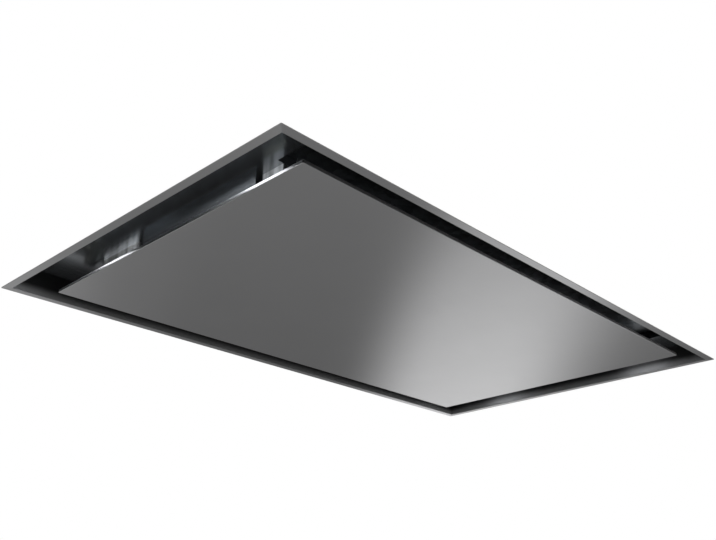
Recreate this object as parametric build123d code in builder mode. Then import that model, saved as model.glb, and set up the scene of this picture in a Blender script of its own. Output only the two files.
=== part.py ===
"""Ceiling range hood, 900 x 500 mm, with perimeter intake and a panel that swings down.

Frame: +Z up, origin at the centre of the trim's underside, X along the 900 mm side.
The trim lies below the ceiling. All that stands above it goes through the ceiling cut-out.
"""

import os
from math import cos, pi, radians, sin

from build123d import *

os.makedirs("parts", exist_ok=True)

# ---- driving dimensions, in millimetres --------------------------------------------------

# trim and collar
trim_length = 900
trim_width = 500
trim_thickness = 1
trim_flange = 9.5
sheet = 1.0
collar_height = 60
fit_gap = 0.3

# recess pan: the polished ceiling above the intake gap
recess_height = 32
pan_end_width = 62.5
pan_side_width = 35.5
tongue_reach = 86.5
tongue_low_gap = 39
tongue_high_gap = 48
pan_lip = 11

# panel
end_gap = 47.5
side_gap = 23.5
panel_thickness = 4
panel_drop = 1
rib_end_gap = 73
rib_spacing = 150
rib_width = 26
rib_height = 6
rib_foot = 9

# panel hinges, on the far long side
hinge_inset = 12
hinge_rise = 9
pin_radius = 3
pin_gap = 0.05
arm_inset = 3.5
arm_thickness = 5
arm_knuckle = 5.5
leaf_gap = 0.5
leaf_thickness = 2
leaf_width = 32
leaf_length = 46
leaf_screw_ends = (9, 15)

# carriers of the hinges and the magnets
carrier_depth = 16
carrier_height = 18
hinge_carrier_length = 77
catch_carrier_length = 32
drip_lip_setback = 3
drip_lip_gap = 13
magnet_size = (12, 29, 5.6)
magnet_gap = 0.4
strike_size = (16, 34, 2)

# lamps
lamp_inset = 26
lamp_spacing = 268
lamp_lens_size = (24, 60)
lamp_rim = 3
lamp_body_height = 9
lens_proud = 0.3

# filters
skirt_drop = 14
skirt_end_gap = 0.5
skirt_side_gap = 38
cassette_middle_gap = 3.5
cassette_thickness = 9
cassette_border = 13
cassette_travel = 6
cassette_gap = 0.5
front_ledge = 5.2
back_ledge = 14
ledge_gap = 0.3
mesh_thickness = 5
grip_size = (64, 16, 12)
grip_wall = 2
grip_end = 5
grip_gap = 1.5
middle_web = 3

# lower housing
housing_top = 112
housing_flange = 14
groove_height = 20
groove_depth = 1.5

# blower box
total_height = 299
blower_size = 380
blower_flange = 12
box_screw_inset = 40
swage_inset = 26
swage_rise = 2

# blower
scroll_end_gap = 12
scroll_side_gap = 16
motor_room = 27
wheel_radius = 100
wheel_clearance = 24
wheel_headroom = 56
wheel_disc = 2
blade_depth = 20
blade_count = 38
blade_thickness = 1.2
blade_radius = 13
blade_lead = radians(6.5)
hub_radius = 14
hub_depth = 30
shaft_radius = 4
shaft_gap = 0.05
volute_sheet = 1.5
scroll_clearance = 12
scroll_growth = 49
inlet_margin = 12
inlet_overlap = 4
motor_radius = 55
motor_height = 46
motor_boss_radius = 28
motor_boss_height = 12
bearing_depth = 30
motor_plate_thickness = 2
bush_radius = 8
bush_height = 4
bush_gap = 11

# duct
duct_radius = 75
duct_wall = 1
duct_length = 84.5
duct_rise = 88
duct_flange_width = 9
duct_step = 3
flap_pin_radius = 2
flap_inset = 7
flap_thickness = 1.2
flap_gap = 0.7
knuckle_length = 19
knuckle_radius = 4

# electrical
control_size = (150, 130, 44)
control_gap = 28
control_wall = 2
board_thickness = 1.6
board_rise = 5
board_end_gap = 6
board_side_gap = 11
relay_size = (28, 16, 15)
relay_pitch = 24
terminal_size = (20, 50, 18)
terminal_gap = 15
capacitor_radius = 15
capacitor_length = 60
gland_radius = 9
cable_radius = 4
driver_size = (104, 40, 24)
driver_end_gap = 43.2
driver_side_gap = 110.2
conduit_radius = 3.5
conduit_bend = 14

# hangers
hanger_end_gap = 40.2
hanger_side_gap = 50.2
hanger_rise = 32
hanger_width = 44
hanger_foot = 26
hanger_top = 40
hanger_sheet = 2
slot_length = 24
slot_width = 9

# screws
screw_radius = 4
screw_head = 2
housing_screw_ends = (40.2, 80.2)

# ---- levels and edges that follow ---------------------------------------------------------

collar_x = trim_length / 2 - trim_flange
collar_y = trim_width / 2 - trim_flange
inner_x = collar_x - fit_gap
inner_y = collar_y - fit_gap

pan_top = recess_height + sheet
frame_level = pan_top + pan_lip
housing_base = frame_level + sheet
pan_open_x = collar_x - pan_end_width
pan_open_y = collar_y - pan_side_width
tongue_x = collar_x - tongue_reach
tongue_low_y = tongue_low_gap - pan_open_y
tongue_high_y = pan_open_y - tongue_high_gap

panel_length = 2 * (collar_x - end_gap)
panel_width = 2 * (collar_y - side_gap)
panel_top = panel_drop + panel_thickness
rib_length = panel_length - 2 * rib_end_gap
hinge_y = panel_width / 2 - hinge_inset
hinge_z = panel_top + hinge_rise
arm_x = tongue_x + arm_inset
leaf_x = arm_x + arm_thickness + leaf_gap
leaf_top = panel_top + leaf_thickness
carrier_base = recess_height - carrier_height
hinge_carrier_y = (tongue_high_y - hinge_carrier_length, tongue_high_y)
catch_carrier_y = (tongue_low_y, tongue_low_y + catch_carrier_length)

skirt_x = tongue_x - skirt_end_gap
skirt_half_width = pan_open_y - skirt_side_gap
skirt_base = frame_level - skirt_drop
cassette_base = skirt_base + sheet + ledge_gap
cassette_width = 2 * (skirt_half_width - sheet - cassette_gap) - cassette_travel
cassette_front = -skirt_half_width + sheet + cassette_gap
cassette_y = cassette_front + cassette_width / 2
cassette_inner = middle_web / 2 + cassette_middle_gap
cassette_length = skirt_x - sheet - cassette_gap - cassette_inner
cassette_x = cassette_inner + cassette_length / 2

blower_top = total_height
blower_half = blower_size / 2
volute_base = housing_top
volute_height = blower_top - housing_top - motor_room
volute_top = volute_base + volute_height
wheel_base = volute_base + wheel_clearance
wheel_height = volute_height - wheel_clearance - wheel_headroom
wheel_top = wheel_base + wheel_height
wheel_eye = wheel_radius - blade_depth
inlet_radius = wheel_eye + inlet_margin
inlet_throat = wheel_eye - inlet_overlap
bush_base = volute_top
bush_circle = motor_radius + bush_gap + bush_radius
plate_base = bush_base + bush_height
plate_top = plate_base + motor_plate_thickness
motor_base = plate_base - motor_height
shaft_base = wheel_top - hub_depth


def scroll_radius(angle):
    """The volute's radius at an angle in degrees, counted from the tongue at -45."""
    return wheel_radius + scroll_clearance + scroll_growth * (angle + 45) / 315


fan_x = scroll_radius(180) + scroll_end_gap + sheet - blower_half
fan_y = blower_half - sheet - scroll_side_gap - scroll_radius(90)

duct_bore = duct_radius - duct_wall
duct_x = blower_half + volute_sheet
duct_y = fan_y - scroll_radius(270) + duct_bore - duct_step
duct_z = housing_top + duct_rise
duct_flange = 2 * (duct_radius + duct_flange_width)
flap_x = duct_x + flap_inset

control_top = housing_top + control_size[2]
control_near_end = -blower_half - blower_flange - control_gap
control_far_end = control_near_end - control_size[0]
control_x = (control_near_end + control_far_end) / 2
terminal_x = control_far_end + control_wall + terminal_gap + terminal_size[0] / 2
board_base = housing_top + control_wall + board_rise
board_high_x = control_near_end - control_wall - board_end_gap
board_low_x = terminal_x + terminal_size[0] / 2 + terminal_gap
board_x = (board_low_x + board_high_x) / 2
board_length = board_high_x - board_low_x
board_width = control_size[1] - 2 * control_wall - 2 * board_side_gap
driver_place = (inner_x - driver_end_gap - driver_size[0] / 2, inner_y - driver_side_gap - driver_size[1] / 2)
hanger_x = inner_x - hanger_end_gap
hanger_y = inner_y - hanger_side_gap

SIDES = (("left", -1), ("right", 1))


# ---- trim and recess ------------------------------------------------------------------------

with BuildPart() as trim_frame:
    with BuildSketch() as flange_ring:
        Rectangle(trim_length, trim_width)
        Rectangle(2 * collar_x, 2 * collar_y, mode=Mode.SUBTRACT)
    extrude(amount=trim_thickness)
    with BuildSketch() as collar_ring:
        Rectangle(2 * (collar_x + sheet), 2 * (collar_y + sheet))
        Rectangle(2 * collar_x, 2 * collar_y, mode=Mode.SUBTRACT)
    extrude(amount=collar_height)
    outer_edges = (
        trim_frame.edges().filter_by(Axis.Z).group_by(Axis.Y)[0]
        + trim_frame.edges().filter_by(Axis.Z).group_by(Axis.Y)[-1]
    )
    fillet(outer_edges, radius=1.0)
trim_frame.part.label = "trim_frame"
export_step(trim_frame.part, "parts/trim_frame.step")


def pan_opening(grow, mode):
    """The opening of the recess pan, grown all round: wide at its corners, narrower between the tongues."""
    low_y = -pan_open_y
    corner_low = tongue_low_y - low_y
    corner_high = pan_open_y - tongue_high_y
    Rectangle(2 * (tongue_x + grow), 2 * (pan_open_y + grow), mode=mode)
    with Locations((0, low_y + corner_low / 2)):
        Rectangle(2 * (pan_open_x + grow), corner_low + 2 * grow, mode=mode)
    with Locations((0, pan_open_y - corner_high / 2)):
        Rectangle(2 * (pan_open_x + grow), corner_high + 2 * grow, mode=mode)


def lamp_places():
    """The four lamps' places, two on each short side."""
    lamp_x = trim_length / 2 - lamp_inset
    return [(sx * lamp_x, sy * lamp_spacing / 2) for sx in (-1, 1) for sy in (-1, 1)]


with BuildPart() as recess_pan:
    with BuildSketch(Plane.XY.offset(recess_height)) as pan_floor:
        Rectangle(2 * inner_x, 2 * inner_y)
        pan_opening(0, Mode.SUBTRACT)
        with Locations(*lamp_places()):
            Rectangle(lamp_lens_size[0] + 2 * fit_gap, lamp_lens_size[1] + 2 * fit_gap, mode=Mode.SUBTRACT)
    extrude(amount=sheet)
    with BuildSketch(Plane.XY.offset(pan_top)) as outer_lip:
        Rectangle(2 * inner_x, 2 * inner_y)
        Rectangle(2 * (inner_x - sheet), 2 * (inner_y - sheet), mode=Mode.SUBTRACT)
    extrude(amount=pan_lip)
    with BuildSketch(Plane.XY.offset(pan_top)) as inner_lip:
        pan_opening(sheet, Mode.ADD)
        pan_opening(0, Mode.SUBTRACT)
    extrude(amount=pan_lip)
    lip_low_y = catch_carrier_y[1] + drip_lip_gap
    lip_length = hinge_carrier_y[0] - lip_low_y
    lip_x = tongue_x + carrier_depth - drip_lip_setback - sheet / 2
    with BuildSketch(Plane.XY.offset(carrier_base)) as drip_lips:
        with Locations((-lip_x, lip_low_y + lip_length / 2), (lip_x, lip_low_y + lip_length / 2)):
            Rectangle(sheet, lip_length)
    extrude(amount=carrier_height)
recess_pan.part.label = "recess_pan"
export_step(recess_pan.part, "parts/recess_pan.step")

lens_base = recess_height - lens_proud
for number, place in enumerate(lamp_places(), start=1):
    with BuildPart() as lamp_body:
        with BuildSketch(Plane.XY.offset(pan_top)) as lamp_outline:
            with Locations(place):
                RectangleRounded(lamp_lens_size[0] + 2 * lamp_rim, lamp_lens_size[1] + 2 * lamp_rim, 2)
        extrude(amount=lamp_body_height)
        with BuildSketch(Plane.XY.offset(pan_top)) as lamp_hollow:
            with Locations(place):
                Rectangle(lamp_lens_size[0] - 2, lamp_lens_size[1] - 2)
        extrude(amount=lamp_body_height - 2, mode=Mode.SUBTRACT)
    lamp_body.part.label = f"lamp_body_{number}"
    export_step(lamp_body.part, f"parts/lamp_body_{number}.step")

    with BuildPart() as lamp_lens:
        with BuildSketch(Plane.XY.offset(lens_base)) as lens_outline:
            with Locations(place):
                RectangleRounded(lamp_lens_size[0], lamp_lens_size[1], 2)
        extrude(amount=pan_top - lens_base)
        chamfer(lamp_lens.faces().sort_by(Axis.Z)[0].edges(), 0.2)
    lamp_lens.part.label = f"lamp_lens_{number}"
    export_step(lamp_lens.part, f"parts/lamp_lens_{number}.step")


# ---- carriers of the hinges and the magnets ---------------------------------------------------

def carrier_block(side, y_range):
    """Draws the plan of a carrier below the pan's tongue, at the filter bay's end."""
    with Locations((side * (tongue_x + carrier_depth / 2), sum(y_range) / 2)):
        Rectangle(carrier_depth, y_range[1] - y_range[0])


for name, side in SIDES:
    with BuildPart() as hinge_carrier:
        with BuildSketch(Plane.XY.offset(carrier_base)) as hinge_block:
            carrier_block(side, hinge_carrier_y)
        extrude(amount=carrier_height)
        fillet(hinge_carrier.edges().filter_by(Axis.Z), radius=1.5)
        arm_low = hinge_z - arm_knuckle
        arm_middle = side * (arm_x + arm_thickness / 2)
        with BuildSketch(Plane.YZ.offset(arm_middle)) as arm_profile:
            with BuildLine() as arm_line:
                Polyline(
                    (hinge_y, hinge_z + arm_knuckle),
                    (hinge_carrier_y[1] + 14, hinge_z + arm_knuckle),
                    (hinge_carrier_y[1] - 6, recess_height - 6),
                    (hinge_carrier_y[0] + 20, recess_height - 6),
                    (hinge_carrier_y[0] + 20, arm_low + 6),
                    (hinge_carrier_y[1] - 20, arm_low),
                    (hinge_y, arm_low),
                )
                RadiusArc((hinge_y, arm_low), (hinge_y, hinge_z + arm_knuckle), -arm_knuckle)
            make_face()
            with Locations((hinge_y, hinge_z)):
                Circle(pin_radius + pin_gap, mode=Mode.SUBTRACT)
        extrude(amount=arm_thickness / 2, both=True)
    hinge_carrier.part.label = f"hinge_carrier_{name}"
    export_step(hinge_carrier.part, f"parts/hinge_carrier_{name}.step")

    with BuildPart() as catch_carrier:
        with BuildSketch(Plane.XY.offset(carrier_base)) as catch_block:
            carrier_block(side, catch_carrier_y)
        extrude(amount=carrier_height)
        fillet(catch_carrier.edges().filter_by(Axis.Z), radius=1.5)
    catch_carrier.part.label = f"catch_carrier_{name}"
    export_step(catch_carrier.part, f"parts/catch_carrier_{name}.step")

pin_length = 2 * arm_thickness + 3
with BuildPart() as hinge_pins:
    for side in (-1, 1):
        pin_middle = side * (arm_x - 1 + pin_length / 2)
        with BuildSketch(Plane.YZ.offset(pin_middle)) as pin_circle:
            with Locations((hinge_y, hinge_z)):
                Circle(pin_radius)
        extrude(amount=pin_length / 2, both=True)
        with BuildSketch(Plane.YZ.offset(side * (arm_x - 1.5))) as head_circle:
            with Locations((hinge_y, hinge_z)):
                Circle(pin_radius + 1.5)
        extrude(amount=1, both=True)
hinge_pins.part.label = "hinge_pins"
export_step(hinge_pins.part, "parts/hinge_pins.step")

magnet_x = tongue_x + carrier_depth / 2
magnet_y = sum(catch_carrier_y) / 2
magnet_base = panel_top + strike_size[2] + magnet_gap
with BuildPart() as catch_magnets:
    with BuildSketch(Plane.XY.offset(magnet_base)) as magnet_outline:
        with Locations((-magnet_x, magnet_y), (magnet_x, magnet_y)):
            Rectangle(magnet_size[0], magnet_size[1])
    extrude(amount=carrier_base - magnet_base)
catch_magnets.part.label = "catch_magnets"
export_step(catch_magnets.part, "parts/catch_magnets.step")


# ---- panel --------------------------------------------------------------------------------------

with BuildPart() as panel_skin:
    with BuildSketch(Plane.XY.offset(panel_drop)) as skin_outline:
        RectangleRounded(panel_length, panel_width, 1.5)
    extrude(amount=panel_thickness)
    fillet(panel_skin.faces().sort_by(Axis.Z)[0].edges(), radius=0.6)
    with BuildSketch(Plane.XY.offset(panel_drop + sheet)) as skin_hollow:
        Rectangle(panel_length - 2 * sheet, panel_width - 2 * sheet)
    extrude(amount=panel_thickness, mode=Mode.SUBTRACT)
panel_skin.part.label = "panel_skin"
export_step(panel_skin.part, "parts/panel_skin.step")

liner_length = panel_length - 2 * sheet - 0.4
liner_width = panel_width - 2 * sheet - 0.4
with BuildPart() as panel_liner:
    with BuildSketch(Plane.XY.offset(panel_drop + sheet)) as liner_outline:
        Rectangle(liner_length, liner_width)
    extrude(amount=panel_thickness - sheet)
    with BuildSketch(Plane.XY.offset(panel_drop + sheet)) as liner_hollow:
        Rectangle(liner_length - 2 * sheet, liner_width - 2 * sheet)
    extrude(amount=panel_thickness - 2 * sheet, mode=Mode.SUBTRACT)
panel_liner.part.label = "panel_liner"
export_step(panel_liner.part, "parts/panel_liner.step")

with BuildPart() as panel_ribs:
    for rib_y in (-rib_spacing / 2, rib_spacing / 2):
        with BuildSketch(Plane.YZ) as rib_profile:
            with BuildLine() as rib_line:
                half = rib_width / 2
                Polyline(
                    (rib_y - half - rib_foot, panel_top),
                    (rib_y - half - rib_foot, panel_top + sheet),
                    (rib_y - half, panel_top + sheet),
                    (rib_y - half + 3, panel_top + rib_height),
                    (rib_y + half - 3, panel_top + rib_height),
                    (rib_y + half, panel_top + sheet),
                    (rib_y + half + rib_foot, panel_top + sheet),
                    (rib_y + half + rib_foot, panel_top),
                    (rib_y + half - sheet, panel_top),
                    (rib_y + half - 3 - sheet, panel_top + rib_height - sheet),
                    (rib_y - half + 3 + sheet, panel_top + rib_height - sheet),
                    (rib_y - half + sheet, panel_top),
                    close=True,
                )
            make_face()
        extrude(amount=rib_length / 2, both=True)
panel_ribs.part.label = "panel_ribs"
export_step(panel_ribs.part, "parts/panel_ribs.step")

leaf_y = hinge_y - arm_knuckle - leaf_length / 2
for name, side in SIDES:
    with BuildPart() as hinge_leaf:
        with BuildSketch(Plane.XY.offset(panel_top)) as leaf_base:
            with Locations((side * (leaf_x + arm_thickness / 2), leaf_y)):
                RectangleRounded(leaf_width, leaf_length, 3)
        extrude(amount=leaf_thickness)
        with BuildSketch(Plane.YZ.offset(side * (leaf_x + arm_thickness / 2))) as knuckle_profile:
            with BuildLine() as knuckle_line:
                Polyline(
                    (hinge_y, hinge_z + arm_knuckle),
                    (hinge_y - 12, hinge_z + arm_knuckle),
                    (leaf_y - 10, leaf_top),
                    (hinge_y - arm_knuckle, panel_top),
                    (hinge_y, hinge_z - arm_knuckle),
                )
                RadiusArc(
                    (hinge_y, hinge_z - arm_knuckle), (hinge_y, hinge_z + arm_knuckle), -arm_knuckle
                )
            make_face()
            with Locations((hinge_y, hinge_z)):
                Circle(pin_radius + pin_gap, mode=Mode.SUBTRACT)
        extrude(amount=arm_thickness / 2, both=True)
    hinge_leaf.part.label = f"hinge_leaf_{name}"
    export_step(hinge_leaf.part, f"parts/hinge_leaf_{name}.step")

with BuildPart() as strike_plates:
    with BuildSketch(Plane.XY.offset(panel_top)) as strike_outline:
        with Locations((-magnet_x, magnet_y), (magnet_x, magnet_y)):
            Rectangle(strike_size[0], strike_size[1])
    extrude(amount=strike_size[2])
strike_plates.part.label = "strike_plates"
export_step(strike_plates.part, "parts/strike_plates.step")

with BuildPart() as panel_screws:
    with BuildSketch(Plane.XY.offset(leaf_top)) as leaf_heads:
        screw_x = leaf_x + arm_thickness / 2 + leaf_width / 2 - screw_radius - 1
        for side in (-1, 1):
            low_screw = leaf_y - leaf_length / 2 + leaf_screw_ends[0]
            high_screw = leaf_y + leaf_length / 2 - leaf_screw_ends[1]
            with Locations((side * screw_x, low_screw), (side * screw_x, high_screw)):
                Circle(screw_radius)
    extrude(amount=screw_head)
    chamfer(panel_screws.faces().sort_by(Axis.Z)[-4:].edges(), 0.6)
panel_screws.part.label = "panel_screws"
export_step(panel_screws.part, "parts/panel_screws.step")


# ---- filters --------------------------------------------------------------------------------------

filter_open_x = skirt_x - cassette_border
filter_open_y = skirt_half_width - cassette_border - sheet
with BuildPart() as filter_frame:
    with BuildSketch(Plane.XY.offset(frame_level)) as frame_plate:
        Rectangle(2 * inner_x, 2 * inner_y)
        with Locations((-filter_open_x / 2, 0), (filter_open_x / 2, 0)):
            Rectangle(filter_open_x - cassette_border, 2 * filter_open_y, mode=Mode.SUBTRACT)
    extrude(amount=sheet)
    with BuildSketch(Plane.XY.offset(skirt_base)) as skirt_ring:
        Rectangle(2 * skirt_x, 2 * skirt_half_width)
        Rectangle(2 * (skirt_x - sheet), 2 * (skirt_half_width - sheet), mode=Mode.SUBTRACT)
        Rectangle(middle_web, 2 * skirt_half_width)
    extrude(amount=skirt_drop)
    with BuildSketch(Plane.XY.offset(skirt_base)) as ledges:
        with Locations((0, -skirt_half_width + sheet + front_ledge / 2)):
            Rectangle(2 * skirt_x, front_ledge)
        with Locations((0, skirt_half_width - sheet - back_ledge / 2)):
            Rectangle(2 * skirt_x, back_ledge)
    extrude(amount=sheet)
filter_frame.part.label = "filter_frame"
export_step(filter_frame.part, "parts/filter_frame.step")

for name, side in SIDES:
    middle = (side * cassette_x, cassette_y)
    with BuildPart() as cassette:
        with BuildSketch(Plane.XY.offset(cassette_base)) as cassette_outline:
            with Locations(middle):
                RectangleRounded(cassette_length, cassette_width, 3)
                Rectangle(
                    cassette_length - 2 * cassette_border,
                    cassette_width - 2 * cassette_border,
                    mode=Mode.SUBTRACT,
                )
        extrude(amount=cassette_thickness)
        with BuildSketch(Plane.XY.offset(cassette_base + sheet)) as channel:
            with Locations(middle):
                Rectangle(cassette_length - 2 * sheet, cassette_width - 2 * sheet)
                Rectangle(
                    cassette_length - 2 * cassette_border,
                    cassette_width - 2 * cassette_border,
                    mode=Mode.SUBTRACT,
                )
        extrude(amount=cassette_thickness - 2 * sheet, mode=Mode.SUBTRACT)
    cassette.part.label = f"cassette_{name}"
    export_step(cassette.part, f"parts/cassette_{name}.step")

    with BuildPart() as mesh_pack:
        mesh_middle = cassette_base + cassette_thickness / 2
        with BuildSketch(Plane.XY.offset(mesh_middle)) as mesh_outline:
            with Locations(middle):
                Rectangle(cassette_length - 2 * sheet - 0.4, cassette_width - 2 * sheet - 0.4)
        extrude(amount=mesh_thickness / 2, both=True)
    mesh_pack.part.label = f"mesh_pack_{name}"
    export_step(mesh_pack.part, f"parts/mesh_pack_{name}.step")

    with BuildPart() as grip:
        grip_y = cassette_front + front_ledge + grip_gap + grip_size[1] / 2
        with BuildSketch(Plane.XY.offset(cassette_base - grip_size[2])) as grip_outline:
            with Locations((side * cassette_x, grip_y)):
                RectangleRounded(grip_size[0], grip_size[1], 3)
        extrude(amount=grip_size[2])
        with BuildSketch(Plane.XZ.offset(-grip_y)) as finger_hollow:
            with Locations((side * cassette_x, cassette_base - grip_size[2] / 2)):
                RectangleRounded(grip_size[0] - 2 * grip_end, grip_size[2] - 2 * grip_wall, 3)
        extrude(amount=grip_size[1], both=True, mode=Mode.SUBTRACT)
    grip.part.label = f"grip_{name}"
    export_step(grip.part, f"parts/grip_{name}.step")


# ---- lower housing and blower box --------------------------------------------------------------

with BuildPart() as lower_housing:
    with BuildSketch(Plane.XY.offset(housing_base)) as housing_walls:
        Rectangle(2 * inner_x, 2 * inner_y)
        Rectangle(2 * (inner_x - sheet), 2 * (inner_y - sheet), mode=Mode.SUBTRACT)
    extrude(amount=housing_top - housing_base)
    with BuildSketch(Plane.XY.offset(housing_top - sheet)) as housing_roof:
        Rectangle(2 * inner_x, 2 * inner_y)
        with Locations((fan_x, fan_y)):
            Circle(inlet_radius, mode=Mode.SUBTRACT)
    extrude(amount=sheet)
    with BuildSketch(Plane.XY.offset(housing_base)) as return_flange:
        Rectangle(2 * inner_x, 2 * inner_y)
        Rectangle(2 * (inner_x - housing_flange), 2 * (inner_y - housing_flange), mode=Mode.SUBTRACT)
    extrude(amount=sheet)
    groove_middle = (collar_height + housing_top) / 2
    with BuildSketch(Plane.XY.offset(groove_middle)) as groove_back:
        Rectangle(2 * (inner_x - sheet), 2 * (inner_y - sheet))
        Rectangle(
            2 * (inner_x - sheet - groove_depth), 2 * (inner_y - sheet - groove_depth), mode=Mode.SUBTRACT
        )
    extrude(amount=groove_height / 2 + sheet, both=True)
    with BuildSketch(Plane.XY.offset(groove_middle)) as groove_front:
        Rectangle(2 * inner_x, 2 * inner_y)
        Rectangle(2 * (inner_x - groove_depth), 2 * (inner_y - groove_depth), mode=Mode.SUBTRACT)
    extrude(amount=groove_height / 2, both=True, mode=Mode.SUBTRACT)
lower_housing.part.label = "lower_housing"
export_step(lower_housing.part, "parts/lower_housing.step")

box_height = blower_top - swage_rise - housing_top
swage_middle = housing_top + box_height / 2
swage_planes = (
    (Plane((0, 0, housing_top + box_height), x_dir=(1, 0, 0), z_dir=(0, 0, 1)), blower_size),
    (Plane((-blower_half, 0, swage_middle), x_dir=(0, 1, 0), z_dir=(-1, 0, 0)), box_height),
    (Plane((0, -blower_half, swage_middle), x_dir=(1, 0, 0), z_dir=(0, -1, 0)), box_height),
    (Plane((0, blower_half, swage_middle), x_dir=(1, 0, 0), z_dir=(0, 1, 0)), box_height),
)
with BuildPart() as blower_box:
    with BuildSketch(Plane.XY.offset(housing_top)) as box_outline:
        Rectangle(blower_size, blower_size)
    extrude(amount=box_height)
    fillet(blower_box.edges().filter_by(Axis.Z), radius=2)
    for plane, height in swage_planes:
        with BuildSketch(plane) as swage_outline:
            RectangleRounded(blower_size - 2 * swage_inset, height - 2 * swage_inset, 18)
        extrude(amount=swage_rise, taper=45)
    with BuildSketch(Plane.XY.offset(housing_top)) as box_hollow:
        Rectangle(blower_size - 2 * sheet, blower_size - 2 * sheet)
    extrude(amount=box_height - sheet, mode=Mode.SUBTRACT)
    for plane, height in swage_planes:
        with BuildSketch(plane.offset(-sheet)) as swage_back:
            RectangleRounded(blower_size - 2 * swage_inset, height - 2 * swage_inset, 18)
        extrude(amount=swage_rise, taper=45, mode=Mode.SUBTRACT)
    with BuildSketch(Plane.XY.offset(housing_top)) as box_flange:
        Rectangle(blower_size + 2 * blower_flange, blower_size + 2 * blower_flange)
        Rectangle(blower_size - 2 * sheet, blower_size - 2 * sheet, mode=Mode.SUBTRACT)
    extrude(amount=sheet)
    with BuildSketch(Plane.YZ.offset(blower_half)) as duct_hole:
        with Locations((duct_y, duct_z)):
            Circle(duct_bore)
    extrude(amount=2 * sheet, both=True, mode=Mode.SUBTRACT)
blower_box.part.label = "blower_box"
export_step(blower_box.part, "parts/blower_box.step")


# ---- blower -----------------------------------------------------------------------------------------

def scroll_point(angle, inset):
    """A point of the volute's spiral at an angle in degrees, moved in by the wall."""
    radius = scroll_radius(angle) - inset
    return (fan_x + radius * cos(radians(angle)), fan_y + radius * sin(radians(angle)))


def volute_outline(inset):
    """Draws the volute's plan: the spiral in arcs from the tongue to its lowest point, and the outlet."""
    outlet_x = blower_half - sheet
    tongue, lowest = scroll_point(-45, inset), scroll_point(270, inset)
    upper_y = duct_y + duct_bore - 4 - inset
    with BuildLine() as outline:
        for start, end in ((-45, 45), (45, 135), (135, 225), (225, 270)):
            ThreePointArc(
                scroll_point(start, inset), scroll_point((start + end) / 2, inset), scroll_point(end, inset)
            )
        Polyline(lowest, (outlet_x, lowest[1]), (outlet_x, upper_y), tongue)
    make_face(outline.edges())


with BuildPart() as volute:
    with BuildSketch(Plane.XY.offset(volute_base)) as volute_outside:
        volute_outline(0)
    extrude(amount=volute_height)
    with BuildSketch(Plane.XY.offset(volute_base + volute_sheet)) as volute_inside:
        volute_outline(volute_sheet)
    extrude(amount=volute_height - 2 * volute_sheet, mode=Mode.SUBTRACT)
    with BuildSketch(Plane.XY.offset(volute_base)) as inlet_hole:
        with Locations((fan_x, fan_y)):
            Circle(inlet_radius)
    extrude(amount=volute_sheet, mode=Mode.SUBTRACT)
    with BuildSketch(Plane.XY.offset(volute_top - volute_sheet)) as motor_hole:
        with Locations((fan_x, fan_y)):
            Circle(motor_radius + 2)
    extrude(amount=volute_sheet, mode=Mode.SUBTRACT)
volute.part.label = "volute"
export_step(volute.part, "parts/volute.step")

fan_axis = Axis((fan_x, fan_y, 0), (0, 0, 1))
ring_base = volute_base + volute_sheet
nozzle_top = wheel_base + 6
with BuildPart() as inlet_ring:
    with BuildSketch(Plane.XZ.offset(-fan_y)) as ring_profile:
        with BuildLine() as ring_line:
            Polyline(
                (fan_x + inlet_throat, nozzle_top),
                (fan_x + inlet_throat, ring_base + 14),
            )
            RadiusArc((fan_x + inlet_throat, ring_base + 14), (fan_x + inlet_throat + 14, ring_base), -14)
            Polyline(
                (fan_x + inlet_throat + 14, ring_base),
                (fan_x + inlet_radius + 12, ring_base),
                (fan_x + inlet_radius + 12, ring_base + 1.2),
                (fan_x + inlet_throat + 14, ring_base + 1.2),
            )
            RadiusArc(
                (fan_x + inlet_throat + 14, ring_base + 1.2), (fan_x + inlet_throat + 1.2, ring_base + 14), 12.8
            )
            Polyline(
                (fan_x + inlet_throat + 1.2, ring_base + 14),
                (fan_x + inlet_throat + 1.2, nozzle_top),
                (fan_x + inlet_throat, nozzle_top),
            )
        make_face()
    revolve(axis=fan_axis)
inlet_ring.part.label = "inlet_ring"
export_step(inlet_ring.part, "parts/inlet_ring.step")

tip_radius = wheel_radius - 0.5
with BuildSketch() as blade_section:
    with BuildLine() as blade_line:
        heel = (wheel_eye + 0.5, 0)
        tip = (tip_radius * cos(blade_lead), tip_radius * sin(blade_lead))
        heel_back = (heel[0], heel[1] - blade_thickness)
        tip_back = (tip[0] + 0.4, tip[1] - blade_thickness)
        RadiusArc(heel, tip, -blade_radius)
        Line(tip, tip_back)
        RadiusArc(tip_back, heel_back, blade_radius + blade_thickness)
        Line(heel_back, heel)
    make_face()

with BuildPart() as impeller:
    with BuildSketch(Plane.XY.offset(wheel_top)) as wheel_back:
        with Locations((fan_x, fan_y)):
            Circle(wheel_radius)
    extrude(amount=wheel_disc)
    with BuildSketch(Plane.XY.offset(wheel_base)) as wheel_rim:
        with Locations((fan_x, fan_y)):
            Circle(wheel_radius)
            Circle(wheel_eye, mode=Mode.SUBTRACT)
    extrude(amount=2)
    with BuildSketch(Plane.XY.offset(wheel_base)) as blades:
        with Locations((fan_x, fan_y)):
            with PolarLocations(0, blade_count):
                add(blade_section.sketch)
    extrude(amount=wheel_height)
    with BuildSketch(Plane.XY.offset(shaft_base)) as hub_outline:
        with Locations((fan_x, fan_y)):
            Circle(hub_radius)
    extrude(amount=wheel_top - shaft_base)
    with BuildSketch(Plane.XY.offset(shaft_base)) as hub_bore:
        with Locations((fan_x, fan_y)):
            Circle(shaft_radius)
    extrude(amount=wheel_top + wheel_disc - shaft_base, mode=Mode.SUBTRACT)
impeller.part.label = "impeller"
export_step(impeller.part, "parts/impeller.step")

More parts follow.
